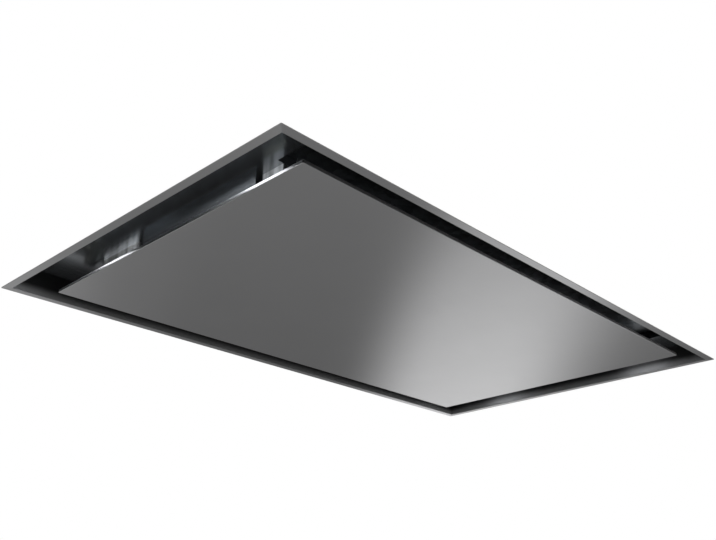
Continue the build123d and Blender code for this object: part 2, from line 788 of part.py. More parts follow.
with BuildPart() as motor_shaft:
    with BuildSketch(Plane.XY.offset(shaft_base)) as shaft_circle:
        with Locations((fan_x, fan_y)):
            Circle(shaft_radius)
    extrude(amount=motor_base + bearing_depth - 1 - shaft_base)
motor_shaft.part.label = "motor_shaft"
export_step(motor_shaft.part, "parts/motor_shaft.step")

with BuildPart() as motor:
    with BuildSketch(Plane.XZ.offset(-fan_y)) as motor_profile:
        with BuildLine() as motor_line:
            Polyline(
                (fan_x, motor_base + bearing_depth),
                (fan_x + shaft_radius + shaft_gap, motor_base + bearing_depth),
                (fan_x + shaft_radius + shaft_gap, motor_base),
                (fan_x + motor_radius - 8, motor_base),
                (fan_x + motor_radius, motor_base + 8),
                (fan_x + motor_radius, plate_base),
                (fan_x + motor_boss_radius, plate_base),
                (fan_x + motor_boss_radius, plate_top + motor_boss_height - 3),
                (fan_x + motor_boss_radius - 3, plate_top + motor_boss_height),
                (fan_x, plate_top + motor_boss_height),
                close=True,
            )
        make_face()
    revolve(axis=fan_axis)
motor.part.label = "motor"
export_step(motor.part, "parts/motor.step")

with BuildPart() as motor_plate:
    with BuildSketch(Plane.XY.offset(plate_base)) as plate_outline:
        with Locations((fan_x, fan_y)):
            Circle(motor_radius + 3)
            with PolarLocations(bush_circle / 2, 3):
                Rectangle(bush_circle + 3 * bush_radius, 2 * bush_radius + 6)
            Circle(motor_boss_radius + fit_gap, mode=Mode.SUBTRACT)
    extrude(amount=motor_plate_thickness)
motor_plate.part.label = "motor_plate"
export_step(motor_plate.part, "parts/motor_plate.step")

with BuildPart() as motor_bushes:
    with BuildSketch(Plane.XY.offset(bush_base)) as bush_circles:
        with Locations((fan_x, fan_y)):
            with PolarLocations(bush_circle, 3):
                Circle(bush_radius)
    extrude(amount=bush_height)
motor_bushes.part.label = "motor_bushes"
export_step(motor_bushes.part, "parts/motor_bushes.step")


# ---- duct spigot and non-return flaps ------------------------------------------------------------

with BuildPart() as duct_spigot:
    with BuildSketch(Plane.YZ.offset(blower_half)) as spigot_flange:
        with Locations((duct_y, duct_z)):
            RectangleRounded(duct_flange, duct_flange, 8)
            Circle(duct_bore, mode=Mode.SUBTRACT)
    extrude(amount=volute_sheet)
    with BuildSketch(Plane.YZ.offset(duct_x)) as spigot_tube:
        with Locations((duct_y, duct_z)):
            Circle(duct_radius)
            Circle(duct_bore, mode=Mode.SUBTRACT)
    extrude(amount=duct_length)
duct_spigot.part.label = "duct_spigot"
export_step(duct_spigot.part, "parts/duct_spigot.step")

with BuildPart() as flap_pin:
    with BuildSketch(Plane.XY.offset(duct_z)) as pin_outline:
        with Locations((flap_x, duct_y)):
            Circle(flap_pin_radius)
    extrude(amount=duct_bore - 0.3, both=True)
flap_pin.part.label = "flap_pin"
export_step(flap_pin.part, "parts/flap_pin.step")

knuckle_step = 2 * (knuckle_length + 1)
plate_start = knuckle_radius + 0.8
for name, side in (("far", 1), ("near", -1)):
    starts = [(-1.5 + (side + 1) / 4) * knuckle_step + turn * knuckle_step for turn in range(3)]
    with BuildPart() as flap:
        with BuildSketch(Plane.YZ.offset(flap_x)) as flap_outline:
            with Locations((duct_y, duct_z)):
                Circle(duct_bore - flap_gap)
            with Locations((duct_y - side * duct_bore + side * plate_start, duct_z)):
                Rectangle(2 * duct_bore, 2 * duct_bore, mode=Mode.SUBTRACT)
            for start in starts:
                with Locations((duct_y + side * plate_start, duct_z + start + knuckle_length / 2)):
                    Rectangle(2 * plate_start - 2, knuckle_length)
        extrude(amount=flap_thickness / 2, both=True)
        for start in starts:
            with BuildSketch(Plane.XY.offset(duct_z + start)) as knuckle_circle:
                with Locations((flap_x, duct_y)):
                    Circle(knuckle_radius)
            extrude(amount=knuckle_length)
        with BuildSketch(Plane.XY.offset(duct_z)) as pin_bore:
            with Locations((flap_x, duct_y)):
                Circle(flap_pin_radius + pin_gap)
        extrude(amount=duct_bore, both=True, mode=Mode.SUBTRACT)
    flap.part.label = f"flap_{name}"
    export_step(flap.part, f"parts/flap_{name}.step")


# ---- electrical --------------------------------------------------------------------------------------

with BuildPart() as control_box:
    with BuildSketch(Plane.XY.offset(housing_top)) as control_outline:
        with Locations((control_x, 0)):
            RectangleRounded(control_size[0], control_size[1], 5)
    extrude(amount=control_size[2])
    with BuildSketch(Plane.XY.offset(housing_top + control_wall)) as control_hollow:
        with Locations((control_x, 0)):
            RectangleRounded(control_size[0] - 2 * control_wall, control_size[1] - 2 * control_wall, 3)
    extrude(amount=control_size[2], mode=Mode.SUBTRACT)
    gland_z = housing_top + control_size[2] / 2
    with BuildSketch(Plane.YZ.offset(control_far_end)) as gland_hole:
        with Locations((0, gland_z)):
            Circle(gland_radius)
    extrude(amount=control_wall, mode=Mode.SUBTRACT)
control_box.part.label = "control_box"
export_step(control_box.part, "parts/control_box.step")

with BuildPart() as control_lid:
    with BuildSketch(Plane.XY.offset(control_top)) as lid_outline:
        with Locations((control_x, 0)):
            RectangleRounded(control_size[0] + 4, control_size[1] + 4, 6)
    extrude(amount=2.5)
    with BuildSketch(Plane.XY.offset(control_top - 3)) as lid_lip:
        with Locations((control_x, 0)):
            lip_x = control_size[0] - 2 * control_wall - 0.6
            lip_y = control_size[1] - 2 * control_wall - 0.6
            Rectangle(lip_x - 4, lip_y - 4)
            Rectangle(lip_x - 8, lip_y - 8, mode=Mode.SUBTRACT)
    extrude(amount=3)
    with Locations((control_x, 0, control_top + 2.5)):
        with GridLocations(control_size[0] - 12, control_size[1] - 12, 2, 2):
            CounterSinkHole(radius=1.5, counter_sink_radius=2.6, depth=2.5)
control_lid.part.label = "control_lid"
export_step(control_lid.part, "parts/control_lid.step")

with BuildPart() as control_board:
    with BuildSketch(Plane.XY.offset(board_base)) as board_outline:
        with Locations((board_x, 0)):
            Rectangle(board_length, board_width)
    extrude(amount=board_thickness)
    with BuildSketch(Plane.XY.offset(housing_top + control_wall)) as standoffs:
        with Locations((board_x, 0)):
            with GridLocations(board_length - 10, board_width - 10, 2, 2):
                Circle(3)
    extrude(amount=board_rise)
    with BuildSketch(Plane.XY.offset(board_base + board_thickness)) as relays:
        with Locations((board_high_x - terminal_gap - relay_size[0] / 2, 0)):
            with GridLocations(0, relay_pitch, 1, 4):
                Rectangle(relay_size[0], relay_size[1])
    extrude(amount=relay_size[2])
control_board.part.label = "control_board"
export_step(control_board.part, "parts/control_board.step")

with BuildPart() as terminal_block:
    with BuildSketch(Plane.XY.offset(housing_top + control_wall)) as terminal_outline:
        with Locations((terminal_x, 0)):
            Rectangle(terminal_size[0], terminal_size[1])
    extrude(amount=terminal_size[2])
    with BuildSketch(Plane.XY.offset(housing_top + control_wall + terminal_size[2])) as terminal_wells:
        with Locations((terminal_x, 0)):
            with GridLocations(0, terminal_size[1] / 3 - 1.5, 1, 3):
                Circle(3)
    extrude(amount=-5, mode=Mode.SUBTRACT)
terminal_block.part.label = "terminal_block"
export_step(terminal_block.part, "parts/terminal_block.step")

with BuildPart() as run_capacitor:
    with BuildSketch(Plane.XZ.offset(-capacitor_length / 2)) as capacitor_circle:
        with Locations((board_low_x + capacitor_radius + 2, board_base + board_thickness + capacitor_radius)):
            Circle(capacitor_radius)
    extrude(amount=capacitor_length / 2, both=True)
    fillet(run_capacitor.edges().filter_by(GeomType.CIRCLE), radius=1.5)
run_capacitor.part.label = "run_capacitor"
export_step(run_capacitor.part, "parts/run_capacitor.step")

with BuildPart() as cable_gland:
    with BuildSketch(Plane.YZ.offset(control_far_end + control_wall + 4)) as gland_body:
        with Locations((0, gland_z)):
            Circle(gland_radius - fit_gap)
    extrude(amount=-(control_wall + 4))
    with BuildSketch(Plane.YZ.offset(control_far_end)) as gland_nut:
        with Locations((0, gland_z)):
            RegularPolygon(gland_radius + 3, 6)
    extrude(amount=-6)
    with BuildSketch(Plane.YZ.offset(control_far_end - 6)) as gland_dome:
        with Locations((0, gland_z)):
            Circle(gland_radius)
    extrude(amount=-12)
    fillet(cable_gland.faces().sort_by(Axis.X)[0].edges(), radius=3)
    with BuildSketch(Plane.YZ.offset(control_far_end)) as gland_bore:
        with Locations((0, gland_z)):
            Circle(cable_radius)
    extrude(amount=24, both=True, mode=Mode.SUBTRACT)
cable_gland.part.label = "cable_gland"
export_step(cable_gland.part, "parts/cable_gland.step")

with BuildPart() as lamp_driver:
    with BuildSketch(Plane.XY.offset(housing_top)) as driver_foot:
        with Locations(driver_place):
            RectangleRounded(driver_size[0] + 20, driver_size[1] / 2, 3)
    extrude(amount=3)
    with BuildSketch(Plane.XY.offset(housing_top)) as driver_outline:
        with Locations(driver_place):
            RectangleRounded(driver_size[0], driver_size[1], 4)
    extrude(amount=driver_size[2])
    fillet(lamp_driver.faces().sort_by(Axis.Z)[-1].edges(), radius=2)
lamp_driver.part.label = "lamp_driver"
export_step(lamp_driver.part, "parts/lamp_driver.step")

conduit_z = housing_top + conduit_radius
with BuildPart() as motor_conduit:
    with BuildSketch(Plane.YZ.offset(control_near_end)) as motor_conduit_circle:
        with Locations((control_size[1] / 4, conduit_z + sheet)):
            Circle(conduit_radius)
    extrude(amount=-blower_half - control_near_end)
motor_conduit.part.label = "motor_conduit"
export_step(motor_conduit.part, "parts/motor_conduit.step")

conduit_start = (control_x + control_size[0] / 4, control_size[1] / 2)
conduit_line_y = blower_half + blower_flange + conduit_bend + conduit_radius
with BuildPart() as driver_conduit:
    with BuildLine() as driver_conduit_line:
        FilletPolyline(
            (conduit_start[0], conduit_start[1], conduit_z),
            (conduit_start[0], conduit_line_y, conduit_z),
            (driver_place[0], conduit_line_y, conduit_z),
            (driver_place[0], driver_place[1] + driver_size[1] / 2, conduit_z),
            radius=conduit_bend,
        )
    with BuildSketch(Plane(origin=driver_conduit_line.line @ 0, z_dir=driver_conduit_line.line % 0)) as driver_conduit_circle:
        Circle(conduit_radius)
    sweep()
driver_conduit.part.label = "driver_conduit"
export_step(driver_conduit.part, "parts/driver_conduit.step")


# ---- hangers and fasteners ------------------------------------------------------------------------------

hanger_places = [(sx * hanger_x, sy * hanger_y) for sx in (-1, 1) for sy in (-1, 1)]
for number, (x, y) in enumerate(hanger_places, start=1):
    inward = -1 if x > 0 else 1
    top_edge = x - inward * hanger_top / 2
    riser = x + inward * hanger_top / 2
    foot_edge = riser + inward * hanger_foot
    low = housing_top
    high = housing_top + hanger_rise
    with BuildPart() as hanger:
        with BuildSketch(Plane.XZ.offset(-y)) as hanger_profile:
            with BuildLine() as hanger_line:
                Polyline(
                    (foot_edge, low),
                    (foot_edge, low + hanger_sheet),
                    (riser, low + hanger_sheet),
                    (riser, high),
                    (top_edge, high),
                    (top_edge, high - hanger_sheet),
                    (riser - inward * hanger_sheet, high - hanger_sheet),
                    (riser - inward * hanger_sheet, low),
                    close=True,
                )
            make_face()
        extrude(amount=hanger_width / 2, both=True)
        with BuildSketch(Plane.XY.offset(high)) as hanger_slot:
            with Locations((x, y)):
                SlotOverall(slot_length, slot_width)
        extrude(amount=-hanger_sheet, mode=Mode.SUBTRACT)
    hanger.part.label = f"hanger_{number}"
    export_step(hanger.part, f"parts/hanger_{number}.step")

with BuildPart() as hanger_rivets:
    with BuildSketch(Plane.XY.offset(housing_top + hanger_sheet)) as rivet_heads:
        for x, y in hanger_places:
            inward = -1 if x > 0 else 1
            rivet_x = x + inward * (hanger_top / 2 + hanger_foot / 2)
            with Locations((rivet_x, y)):
                with GridLocations(0, hanger_width - 20, 1, 2):
                    Circle(screw_radius)
    extrude(amount=screw_head)
    chamfer(hanger_rivets.faces().sort_by(Axis.Z)[-8:].edges(), 0.8)
hanger_rivets.part.label = "hanger_rivets"
export_step(hanger_rivets.part, "parts/hanger_rivets.step")

with BuildPart() as box_screws:
    flange_middle = blower_half + blower_flange / 2
    box_screw_pitch = blower_half - box_screw_inset
    with BuildSketch(Plane.XY.offset(housing_top + sheet)) as box_heads:
        with Locations((-flange_middle, 0), (flange_middle, 0)):
            with GridLocations(0, box_screw_pitch, 1, 3):
                Circle(screw_radius)
        with Locations((0, -flange_middle), (0, flange_middle)):
            with GridLocations(box_screw_pitch, 0, 3, 1):
                Circle(screw_radius)
    extrude(amount=screw_head)
    chamfer(box_screws.faces().sort_by(Axis.Z)[-12:].edges(), 0.6)
box_screws.part.label = "box_screws"
export_step(box_screws.part, "parts/box_screws.step")

with BuildPart() as spigot_screws:
    with BuildSketch(Plane.YZ.offset(duct_x)) as spigot_heads:
        with Locations((duct_y, duct_z)):
            with GridLocations(duct_flange - 20, duct_flange - 20, 2, 2):
                Circle(screw_radius)
    extrude(amount=screw_head)
    chamfer(spigot_screws.faces().sort_by(Axis.X)[-4:].edges(), 0.6)
spigot_screws.part.label = "spigot_screws"
export_step(spigot_screws.part, "parts/spigot_screws.step")

with BuildPart() as housing_screws:
    flange_line_x = inner_x - housing_flange / 2
    flange_line_y = inner_y - housing_flange / 2
    with BuildSketch(Plane.XY.offset(housing_base + sheet)) as housing_heads:
        with Locations((0, -flange_line_y), (0, flange_line_y)):
            with GridLocations((inner_x - housing_screw_ends[0]) / 2, 0, 5, 1):
                Circle(screw_radius)
        with Locations((-flange_line_x, 0), (flange_line_x, 0)):
            with GridLocations(0, inner_y - housing_screw_ends[1], 1, 3):
                Circle(screw_radius)
    extrude(amount=screw_head)
housing_screws.part.label = "housing_screws"
export_step(housing_screws.part, "parts/housing_screws.step")
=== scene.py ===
"""Looks of the ceiling range hood: steel finishes, lamps, filter mesh, fasteners, conduits and the stage.

Laid out as an add-on and run as a script. The part's frame has +Z up and its origin at the centre of the
trim's underside. Blender's lengths are metres. The shapes drawn here are given in millimetres.
"""

from functools import partial
from itertools import product
from math import cos, pi, radians, sin

import bmesh
import bpy
from bpy.props import FloatProperty, FloatVectorProperty, PointerProperty
from mathutils import Matrix, Vector


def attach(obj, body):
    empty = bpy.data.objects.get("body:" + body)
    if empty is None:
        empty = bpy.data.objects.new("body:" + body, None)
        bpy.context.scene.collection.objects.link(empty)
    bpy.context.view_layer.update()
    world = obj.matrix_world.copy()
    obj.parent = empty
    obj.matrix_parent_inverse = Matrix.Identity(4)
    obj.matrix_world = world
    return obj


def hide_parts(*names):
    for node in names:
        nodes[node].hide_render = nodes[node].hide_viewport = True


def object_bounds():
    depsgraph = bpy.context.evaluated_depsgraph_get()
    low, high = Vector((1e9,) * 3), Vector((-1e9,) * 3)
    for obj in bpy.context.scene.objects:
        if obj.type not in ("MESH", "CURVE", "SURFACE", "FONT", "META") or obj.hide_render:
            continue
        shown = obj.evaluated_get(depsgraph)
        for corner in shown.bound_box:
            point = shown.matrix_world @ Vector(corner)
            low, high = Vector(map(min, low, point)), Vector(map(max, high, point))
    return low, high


bl_info = {
    "name": "Ceiling range hood looks",
    "version": (1, 0, 0),
    "blender": (4, 5, 0),
    "location": "View3D > Sidebar > Hood",
    "description": "Finishes and fine pieces of a ceiling range hood around its packed model",
    "category": "Object",
}

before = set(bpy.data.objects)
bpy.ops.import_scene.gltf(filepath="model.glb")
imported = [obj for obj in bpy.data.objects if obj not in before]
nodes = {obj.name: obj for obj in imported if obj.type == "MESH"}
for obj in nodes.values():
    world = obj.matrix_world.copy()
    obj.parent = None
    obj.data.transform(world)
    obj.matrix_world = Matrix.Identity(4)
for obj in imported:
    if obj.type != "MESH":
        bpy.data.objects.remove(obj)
cad_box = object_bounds()
MM = 0.001
SIDES = (-1, 1)

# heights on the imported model, in millimetres
RECESS_LEVEL = 32
HOUSING_TOP = 112

# how deep a fine piece is sunk into the face that it stands on, in millimetres
SUNK = 0.1

# how bright the reflection bowl is at each share of its half width along X
LIGHT_STRIP = (
    (0.0, 0.44), (0.27, 0.40), (0.40, 0.08), (0.49, 0.0), (0.69, 0.0), (0.77, 0.83), (0.835, 0.83),
    (0.91, 0.06), (1.0, 0.0),
)


# ---- mesh helpers ----

def mm(*values):
    """A point given in millimetres."""
    return Vector(values) * MM


def middle(low, high):
    """The point halfway between two corners."""
    return [(a + b) / 2 for a, b in zip(low, high)]


def extent(low, high):
    """The lengths of the box between two corners."""
    return [b - a for a, b in zip(low, high)]


def bridge(bm, loops, closed=False):
    """Joins each loop of vertices, or single vertex, to the next, and the last to the first if closed."""
    for loop, following in zip(loops, loops[1:] + loops[:1] if closed else loops[1:]):
        count = max(len(loop), len(following))
        for step in range(count):
            after = (step + 1) % count
            corners = [loop[step % len(loop)], loop[after % len(loop)]]
            corners += [following[after % len(following)], following[step % len(following)]]
            bm.faces.new(dict.fromkeys(corners))


def turned(bm, profile, centre, axis="Z", segments=24):
    """Turns a profile of (radius, height) pairs about an axis through centre.

    A radius of 0 closes the shape, and a radius may be a function of the angle."""
    turn = Matrix.Rotation(*{"X": (pi / 2, 3, "Y"), "Y": (-pi / 2, 3, "X"), "Z": (0, 3, "Z")}[axis])
    rings = []
    for radius, height in profile:
        ring = []
        for step in range(1 if radius == 0 else segments):
            angle = 2 * pi * step / segments
            reach = radius(angle) if callable(radius) else radius
            point = Vector(centre) + turn @ Vector((reach * cos(angle), reach * sin(angle), height))
            ring.append(bm.verts.new(point * MM))
        rings.append(ring)
    bridge(bm, rings)


def pulled(bm, outline, axis, low, high):
    """Pulls a closed outline, drawn across an axis, along it from low to high."""
    at = "XYZ".index(axis)
    ends = [[bm.verts.new(mm(*point[:at], level, *point[at:])) for point in outline] for level in (low, high)]
    bm.faces.new(ends[0])
    bm.faces.new(ends[1])
    bridge(bm, ends)


def block(bm, one, other):
    """A closed box between two opposite corners."""
    (left, near, foot), (right, far, top) = zip(*(sorted(pair) for pair in zip(one, other)))
    pulled(bm, [(left, near), (right, near), (right, far), (left, far)], "Z", foot, top)


def rounded_rectangle(centre, size, radius, steps=6):
    """The points of a rectangle with round corners."""
    points = []
    for corner, (sx, sy) in enumerate(((1, 1), (-1, 1), (-1, -1), (1, -1))):
        for step in range(steps + 1):
            angle = (corner + step / steps) * pi / 2
            points.append((
                centre[0] + sx * (size[0] / 2 - radius) + radius * cos(angle),
                centre[1] + sy * (size[1] / 2 - radius) + radius * sin(angle),
            ))
    return points


def solid_boxes(name):
    """The (lowest, highest) corners of a CAD node's separate solids, in millimetres."""
    bm = bmesh.new()
    bm.from_mesh(nodes[name].data)
    bmesh.ops.remove_doubles(bm, verts=bm.verts, dist=1e-6)
    bm.transform(nodes[name].matrix_world)
    left, boxes = set(bm.verts), []
    while left:
        found, stack = [], [left.pop()]
        while stack:
            vert = stack.pop()
            found.append(vert.co / MM)
            for edge in vert.link_edges:
                other = edge.other_vert(vert)
                if other in left:
                    left.remove(other)
                    stack.append(other)
        boxes.append([[pick(p[i] for p in found) for i in range(3)] for pick in (min, max)])
    bm.free()
    return sorted(boxes)


def finish_edges(piece, smooth, width):
    """Shades a piece smooth up to an angle in degrees, and rounds its sharp edges by a width in millimetres.

    Rounded edges catch the light as bent sheet does. A width of 0 leaves them sharp."""
    piece.data.shade_smooth()
    piece.data.set_sharp_from_angle(angle=radians(smooth))
    if not width:
        return
    weld = piece.modifiers.new("weld", "WELD")
    weld.merge_threshold = 1e-6
    bevel = piece.modifiers.new("soft_edges", "BEVEL")
    bevel.width = width * MM
    bevel.segments = 2
    bevel.limit_method = "ANGLE"
    bevel.angle_limit = radians(35)
    even = piece.modifiers.new("flat_faces", "WEIGHTED_NORMAL")
    even.weight = 100


def dress(names, material, edge=0.0, smooth=30.0):
    """Gives CAD nodes a material and finished edges."""
    for name in names:
        nodes[name].data.materials.clear()
        nodes[name].data.materials.append(material)
        finish_edges(nodes[name], smooth, edge)


def new_object(name, bm, material):
    """Makes an object of a mesh in one material, and links it to the scene."""
    mesh = bpy.data.meshes.new(name)
    bm.to_mesh(mesh)
    bm.free()
    mesh.materials.append(material)
    made = bpy.data.objects.new(name, mesh)
    bpy.context.scene.collection.objects.link(made)
    return made


def add_piece(name, bm, material, body, replaced=(), smooth=30.0, edge=0.0):
    """Makes a piece of a mesh. It rides on a body, and may stand for CAD nodes."""
    if not len(bm.faces):
        raise RuntimeError(f"{name} has no faces")
    bmesh.ops.recalc_face_normals(bm, faces=bm.faces)
    piece = new_object(name, bm, material)
    finish_edges(piece, smooth, edge)
    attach(piece, body)
    if replaced:
        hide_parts(*replaced)


# ---- node helpers ----

def linear(text):
    """An sRGB hex colour as linear RGB."""
    channels = [int(text[i:i + 2], 16) / 255 for i in (0, 2, 4)]
    return [c / 12.92 if c <= 0.04045 else ((c + 0.055) / 1.055) ** 2.4 for c in channels]


def shaded(colour, share):
    """A colour made darker or lighter, up to white."""
    return [min(1, channel * share) for channel in colour]


def add_node(tree, kind, settings=None, **values):
    """Adds a shader node, sets its properties, and gives each input a value, a socket or a node.

    A key is an input's name with _ for a space, or i and its number. A node is joined by the first of its
    outputs that is in use."""
    made = tree.nodes.new("ShaderNode" + kind)
    for key, value in (settings or {}).items():
        setattr(made, key, value)
    for key, value in values.items():
        by_number = key[0] == "i" and key[1:].isdigit()
        socket = made.inputs[int(key[1:])] if by_number else made.inputs[key.replace("_", " ")]
        if isinstance(value, bpy.types.Node):
            value = next(output for output in value.outputs if output.enabled)
        if isinstance(value, bpy.types.NodeSocket):
            tree.links.new(value, socket)
        elif socket.type == "RGBA" and len(value) == 3:
            socket.default_value = (*value, 1.0)
        else:
            socket.default_value = value
    return made


def new_material(name):
    """An empty node material, and add_node for its tree."""
    material = bpy.data.materials.new(name)
    material.use_nodes = True
    material.node_tree.nodes.clear()
    return material, partial(add_node, material.node_tree)


def finish_material(material, add, kind, **values):
    """Adds a material's last shader and joins it to the output."""
    add("OutputMaterial", Surface=add(kind, **values))
    return material


def pattern_space(add, *size):
    """Coordinates in which one unit is a pattern's size in millimetres, given once or for X, Y and Z.

    Each CAD node's object sits at the part's origin, so patterns run on from one node to the next."""
    scale = [1 / (length * MM) for length in (size if len(size) == 3 else size * 3)]
    return add("Mapping", Scale=scale, Vector=add("TexCoord").outputs["Object"])


def upright_faces(add):
    """1 on faces that stand upright, and 0 on level ones."""
    height = add("SeparateXYZ", Vector=add("TexCoord").outputs["Normal"]).outputs["Z"]
    level = add("Math", {"operation": "ABSOLUTE"}, i0=height)
    return add("Math", {"operation": "LESS_THAN"}, i0=level, i1=0.5)


def trim_faces(add):
    """Two masks: 1 on the short sides of the trim up to its mitres, and 1 on its inner upright faces."""
    mitre = cad_box[1][0] - cad_box[1][1]
    place = add("TexCoord").outputs
    size = add("VectorMath", {"operation": "ABSOLUTE"}, i0=place["Object"])
    reach = add("SeparateXYZ", Vector=size).outputs
    beyond = add("Math", {"operation": "SUBTRACT"}, i0=reach["X"], i1=reach["Y"])
    short_side = add("Math", {"operation": "GREATER_THAN"}, i0=beyond, i1=mitre)
    outward = add("VectorMath", {"operation": "DOT_PRODUCT"}, i0=place["Object"], i1=place["Normal"])
    inner = add("Math", {"operation": "LESS_THAN"}, i0=outward, i1=0.0)
    return short_side, add("Math", {"operation": "MULTIPLY"}, i0=upright_faces(add), i1=inner)


def looked_at(add):
    """1 for rays that come from the camera, a glossy surface or glass."""
    path = add("LightPath").outputs
    seen = add("Math", {"operation": "MAXIMUM"}, i0=path["Is Camera Ray"], i1=path["Is Glossy Ray"])
    return add("Math", {"operation": "MAXIMUM"}, i0=seen, i1=path["Is Transmission Ray"])


# ---- finishes ----

def brushed_stainless(name, colour, along, across, roughness=0.3, pull=0.95, ripple=0.0, mitred=False):
    """Stainless sheet drawn under an abrasive belt.

    The fine parallel lines pull each highlight out across them, which tells the eye that the steel is
    brushed, and which way. A 180 grit belt leaves lines 0.1 mm apart. They are drawn 0.5 mm apart and
    60 mm long here, so that they show. Faint clouds 90 mm wide are the belt's uneven pressure. ripple is
    the height, in millimetres, of the 9 mm waves that a folding press leaves in a short flap. Streaks
    along them are painted darker, down to 0.4 of the colour, as painted shade. A mitred frame is brushed
    along each of its sides. Its inner upright faces have no pull and a roughness of 0.55, and their colour
    is painted shade: 0.7 of the colour at the fold, darkening to 0.07 from there up to 14 mm."""
    material, add = new_material(name)
    line_space = pattern_space(add, *(60 if axis == along else 0.5 for axis in "XYZ"))
    direction = add("CombineXYZ", **{across: 1.0})
    if mitred:
        short_side, inner_wall = trim_faces(add)
        short_space = pattern_space(add, 0.5, 60, 0.5)
        line_space = add("Mix", {"data_type": "VECTOR"}, i0=short_side, i4=line_space, i5=short_space)
        direction = add("Mix", {"data_type": "VECTOR"}, i0=short_side, i4=direction, i5=(1, 0, 0))
        direction = add("Mix", {"data_type": "VECTOR"}, i0=inner_wall, i4=direction, i5=(0, 0, 1))
    lines = add("TexNoise", Scale=1.0, Detail=3.0, Roughness=0.6, Vector=line_space)
    clouds = add("TexNoise", Scale=1.0, Detail=2.0, Vector=pattern_space(add, 90))
    rough = add(
        "MapRange", Value=lines, From_Min=0.3, From_Max=0.7, To_Min=roughness * 0.92, To_Max=roughness * 1.1
    )
    tone = add("Mix", {"data_type": "RGBA"}, i0=clouds, i6=shaded(colour, 0.95), i7=list(colour))
    bump = add("Bump", Strength=0.35, Distance=0.012 * MM, Height=lines)
    if mitred:
        # painted shade: the trim's inner upright faces darken from 0.7 of the colour at the fold to 0.07 at
        # 14 mm up
        height = add("SeparateXYZ", Vector=add("TexCoord").outputs["Object"]).outputs["Z"]
        smooth = {"interpolation_type": "SMOOTHSTEP"}
        wall_shade_by_height = add("MapRange", smooth, Value=height, From_Min=1.5 * MM, From_Max=14 * MM)
        dull = add("Mix", {"data_type": "RGBA"}, i0=wall_shade_by_height, i6=shaded(colour, 0.7), i7=shaded(colour, 0.07))
        tone = add("Mix", {"data_type": "RGBA"}, i0=inner_wall, i6=tone, i7=dull)
        inner_wall_roughness, no_pull = 0.55, 0.0
        rough = add("Mix", i0=inner_wall, i2=rough, i3=inner_wall_roughness)
        pull = add("Mix", i0=inner_wall, i2=pull, i3=no_pull)
    if ripple:
        wave_space = pattern_space(add, *(70 if axis == across else 9 for axis in "XYZ"))
        waves = add("TexNoise", Scale=1.0, Detail=1.0, Vector=wave_space)
        # painted shade: streaks along the waves are darkened down to 0.4 of the colour
        wave_streak_shade = add("MapRange", Value=waves, From_Min=0.4, From_Max=0.62, To_Min=1.0, To_Max=0.4)
        tone = add("VectorMath", {"operation": "SCALE"}, i0=tone, Scale=wave_streak_shade)
        bump = add("Bump", Strength=1.0, Distance=ripple * MM, Height=waves, Normal=bump)
    to_world = {"vector_type": "VECTOR", "convert_from": "OBJECT", "convert_to": "WORLD"}
    return finish_material(
        material, add, "BsdfPrincipled", Base_Color=tone, Metallic=1.0, Roughness=rough, Anisotropic=pull,
        Normal=bump, Tangent=add("VectorTransform", to_world, Vector=direction),
    )


def bright_rolled_stainless(name, colour, roughness):
    """Stainless sheet as it leaves bright rolling: almost a mirror.

    Its slow waves, 60 mm wide, bend what it mirrors, and wiping marks change its gloss a little. A thin film
    left on it gives it a haze. Its upright faces are painted at half the colour, as painted shade."""
    material, add = new_material(name)
    waves = add("TexNoise", Scale=1.0, Detail=1.0, Vector=pattern_space(add, 60))
    wiping = add("TexNoise", Scale=1.0, Detail=4.0, Distortion=0.6, Vector=pattern_space(add, 30, 14, 30))
    rough = add(
        "MapRange", Value=wiping, From_Min=0.35, From_Max=0.65, To_Min=roughness * 0.94,
        To_Max=roughness * 1.06,
    )
    tone = add("Mix", {"data_type": "RGBA"}, i0=wiping, i6=shaded(colour, 0.97), i7=list(colour))
    # painted shade: upright faces at half the colour
    tone = add("Mix", {"data_type": "RGBA"}, i0=upright_faces(add), i6=tone, i7=shaded(colour, 0.5))
    bump = add("Bump", Strength=0.6, Distance=0.12 * MM, Height=waves)
    return finish_material(
        material, add, "BsdfPrincipled", Base_Color=tone, Metallic=0.9, Roughness=rough, Normal=bump
    )


def galvanised_sheet(colour):
    """Hot-dip galvanised sheet: frost-like zinc crystals, 9 mm across, each with its own grey and gloss.

    The dull grain between them, 0.6 mm, keeps the sheet from looking polished."""
    material, add = new_material("galvanised_sheet")
    space = pattern_space(add, 9)
    crystals = add("TexVoronoi", {"feature": "F1"}, Scale=1.0, Randomness=1.0, Vector=space).outputs
    each = add("SeparateColor", Color=crystals["Color"]).outputs
    grain = add("TexNoise", Scale=1.0, Detail=3.0, Vector=pattern_space(add, 0.6))
    tone = add("Mix", {"data_type": "RGBA"}, i0=each["Red"], i6=shaded(colour, 0.72), i7=shaded(colour, 1.08))
    rough = add("MapRange", Value=each["Green"], To_Min=0.30, To_Max=0.52)
    bump = add("Bump", Strength=0.25, Distance=0.03 * MM, Height=grain)
    bump = add("Bump", Strength=0.25, Distance=0.06 * MM, Height=crystals["Distance"], Normal=bump)
    return finish_material(
        material, add, "BsdfPrincipled", Base_Color=tone, Metallic=1.0, Roughness=rough, Normal=bump
    )


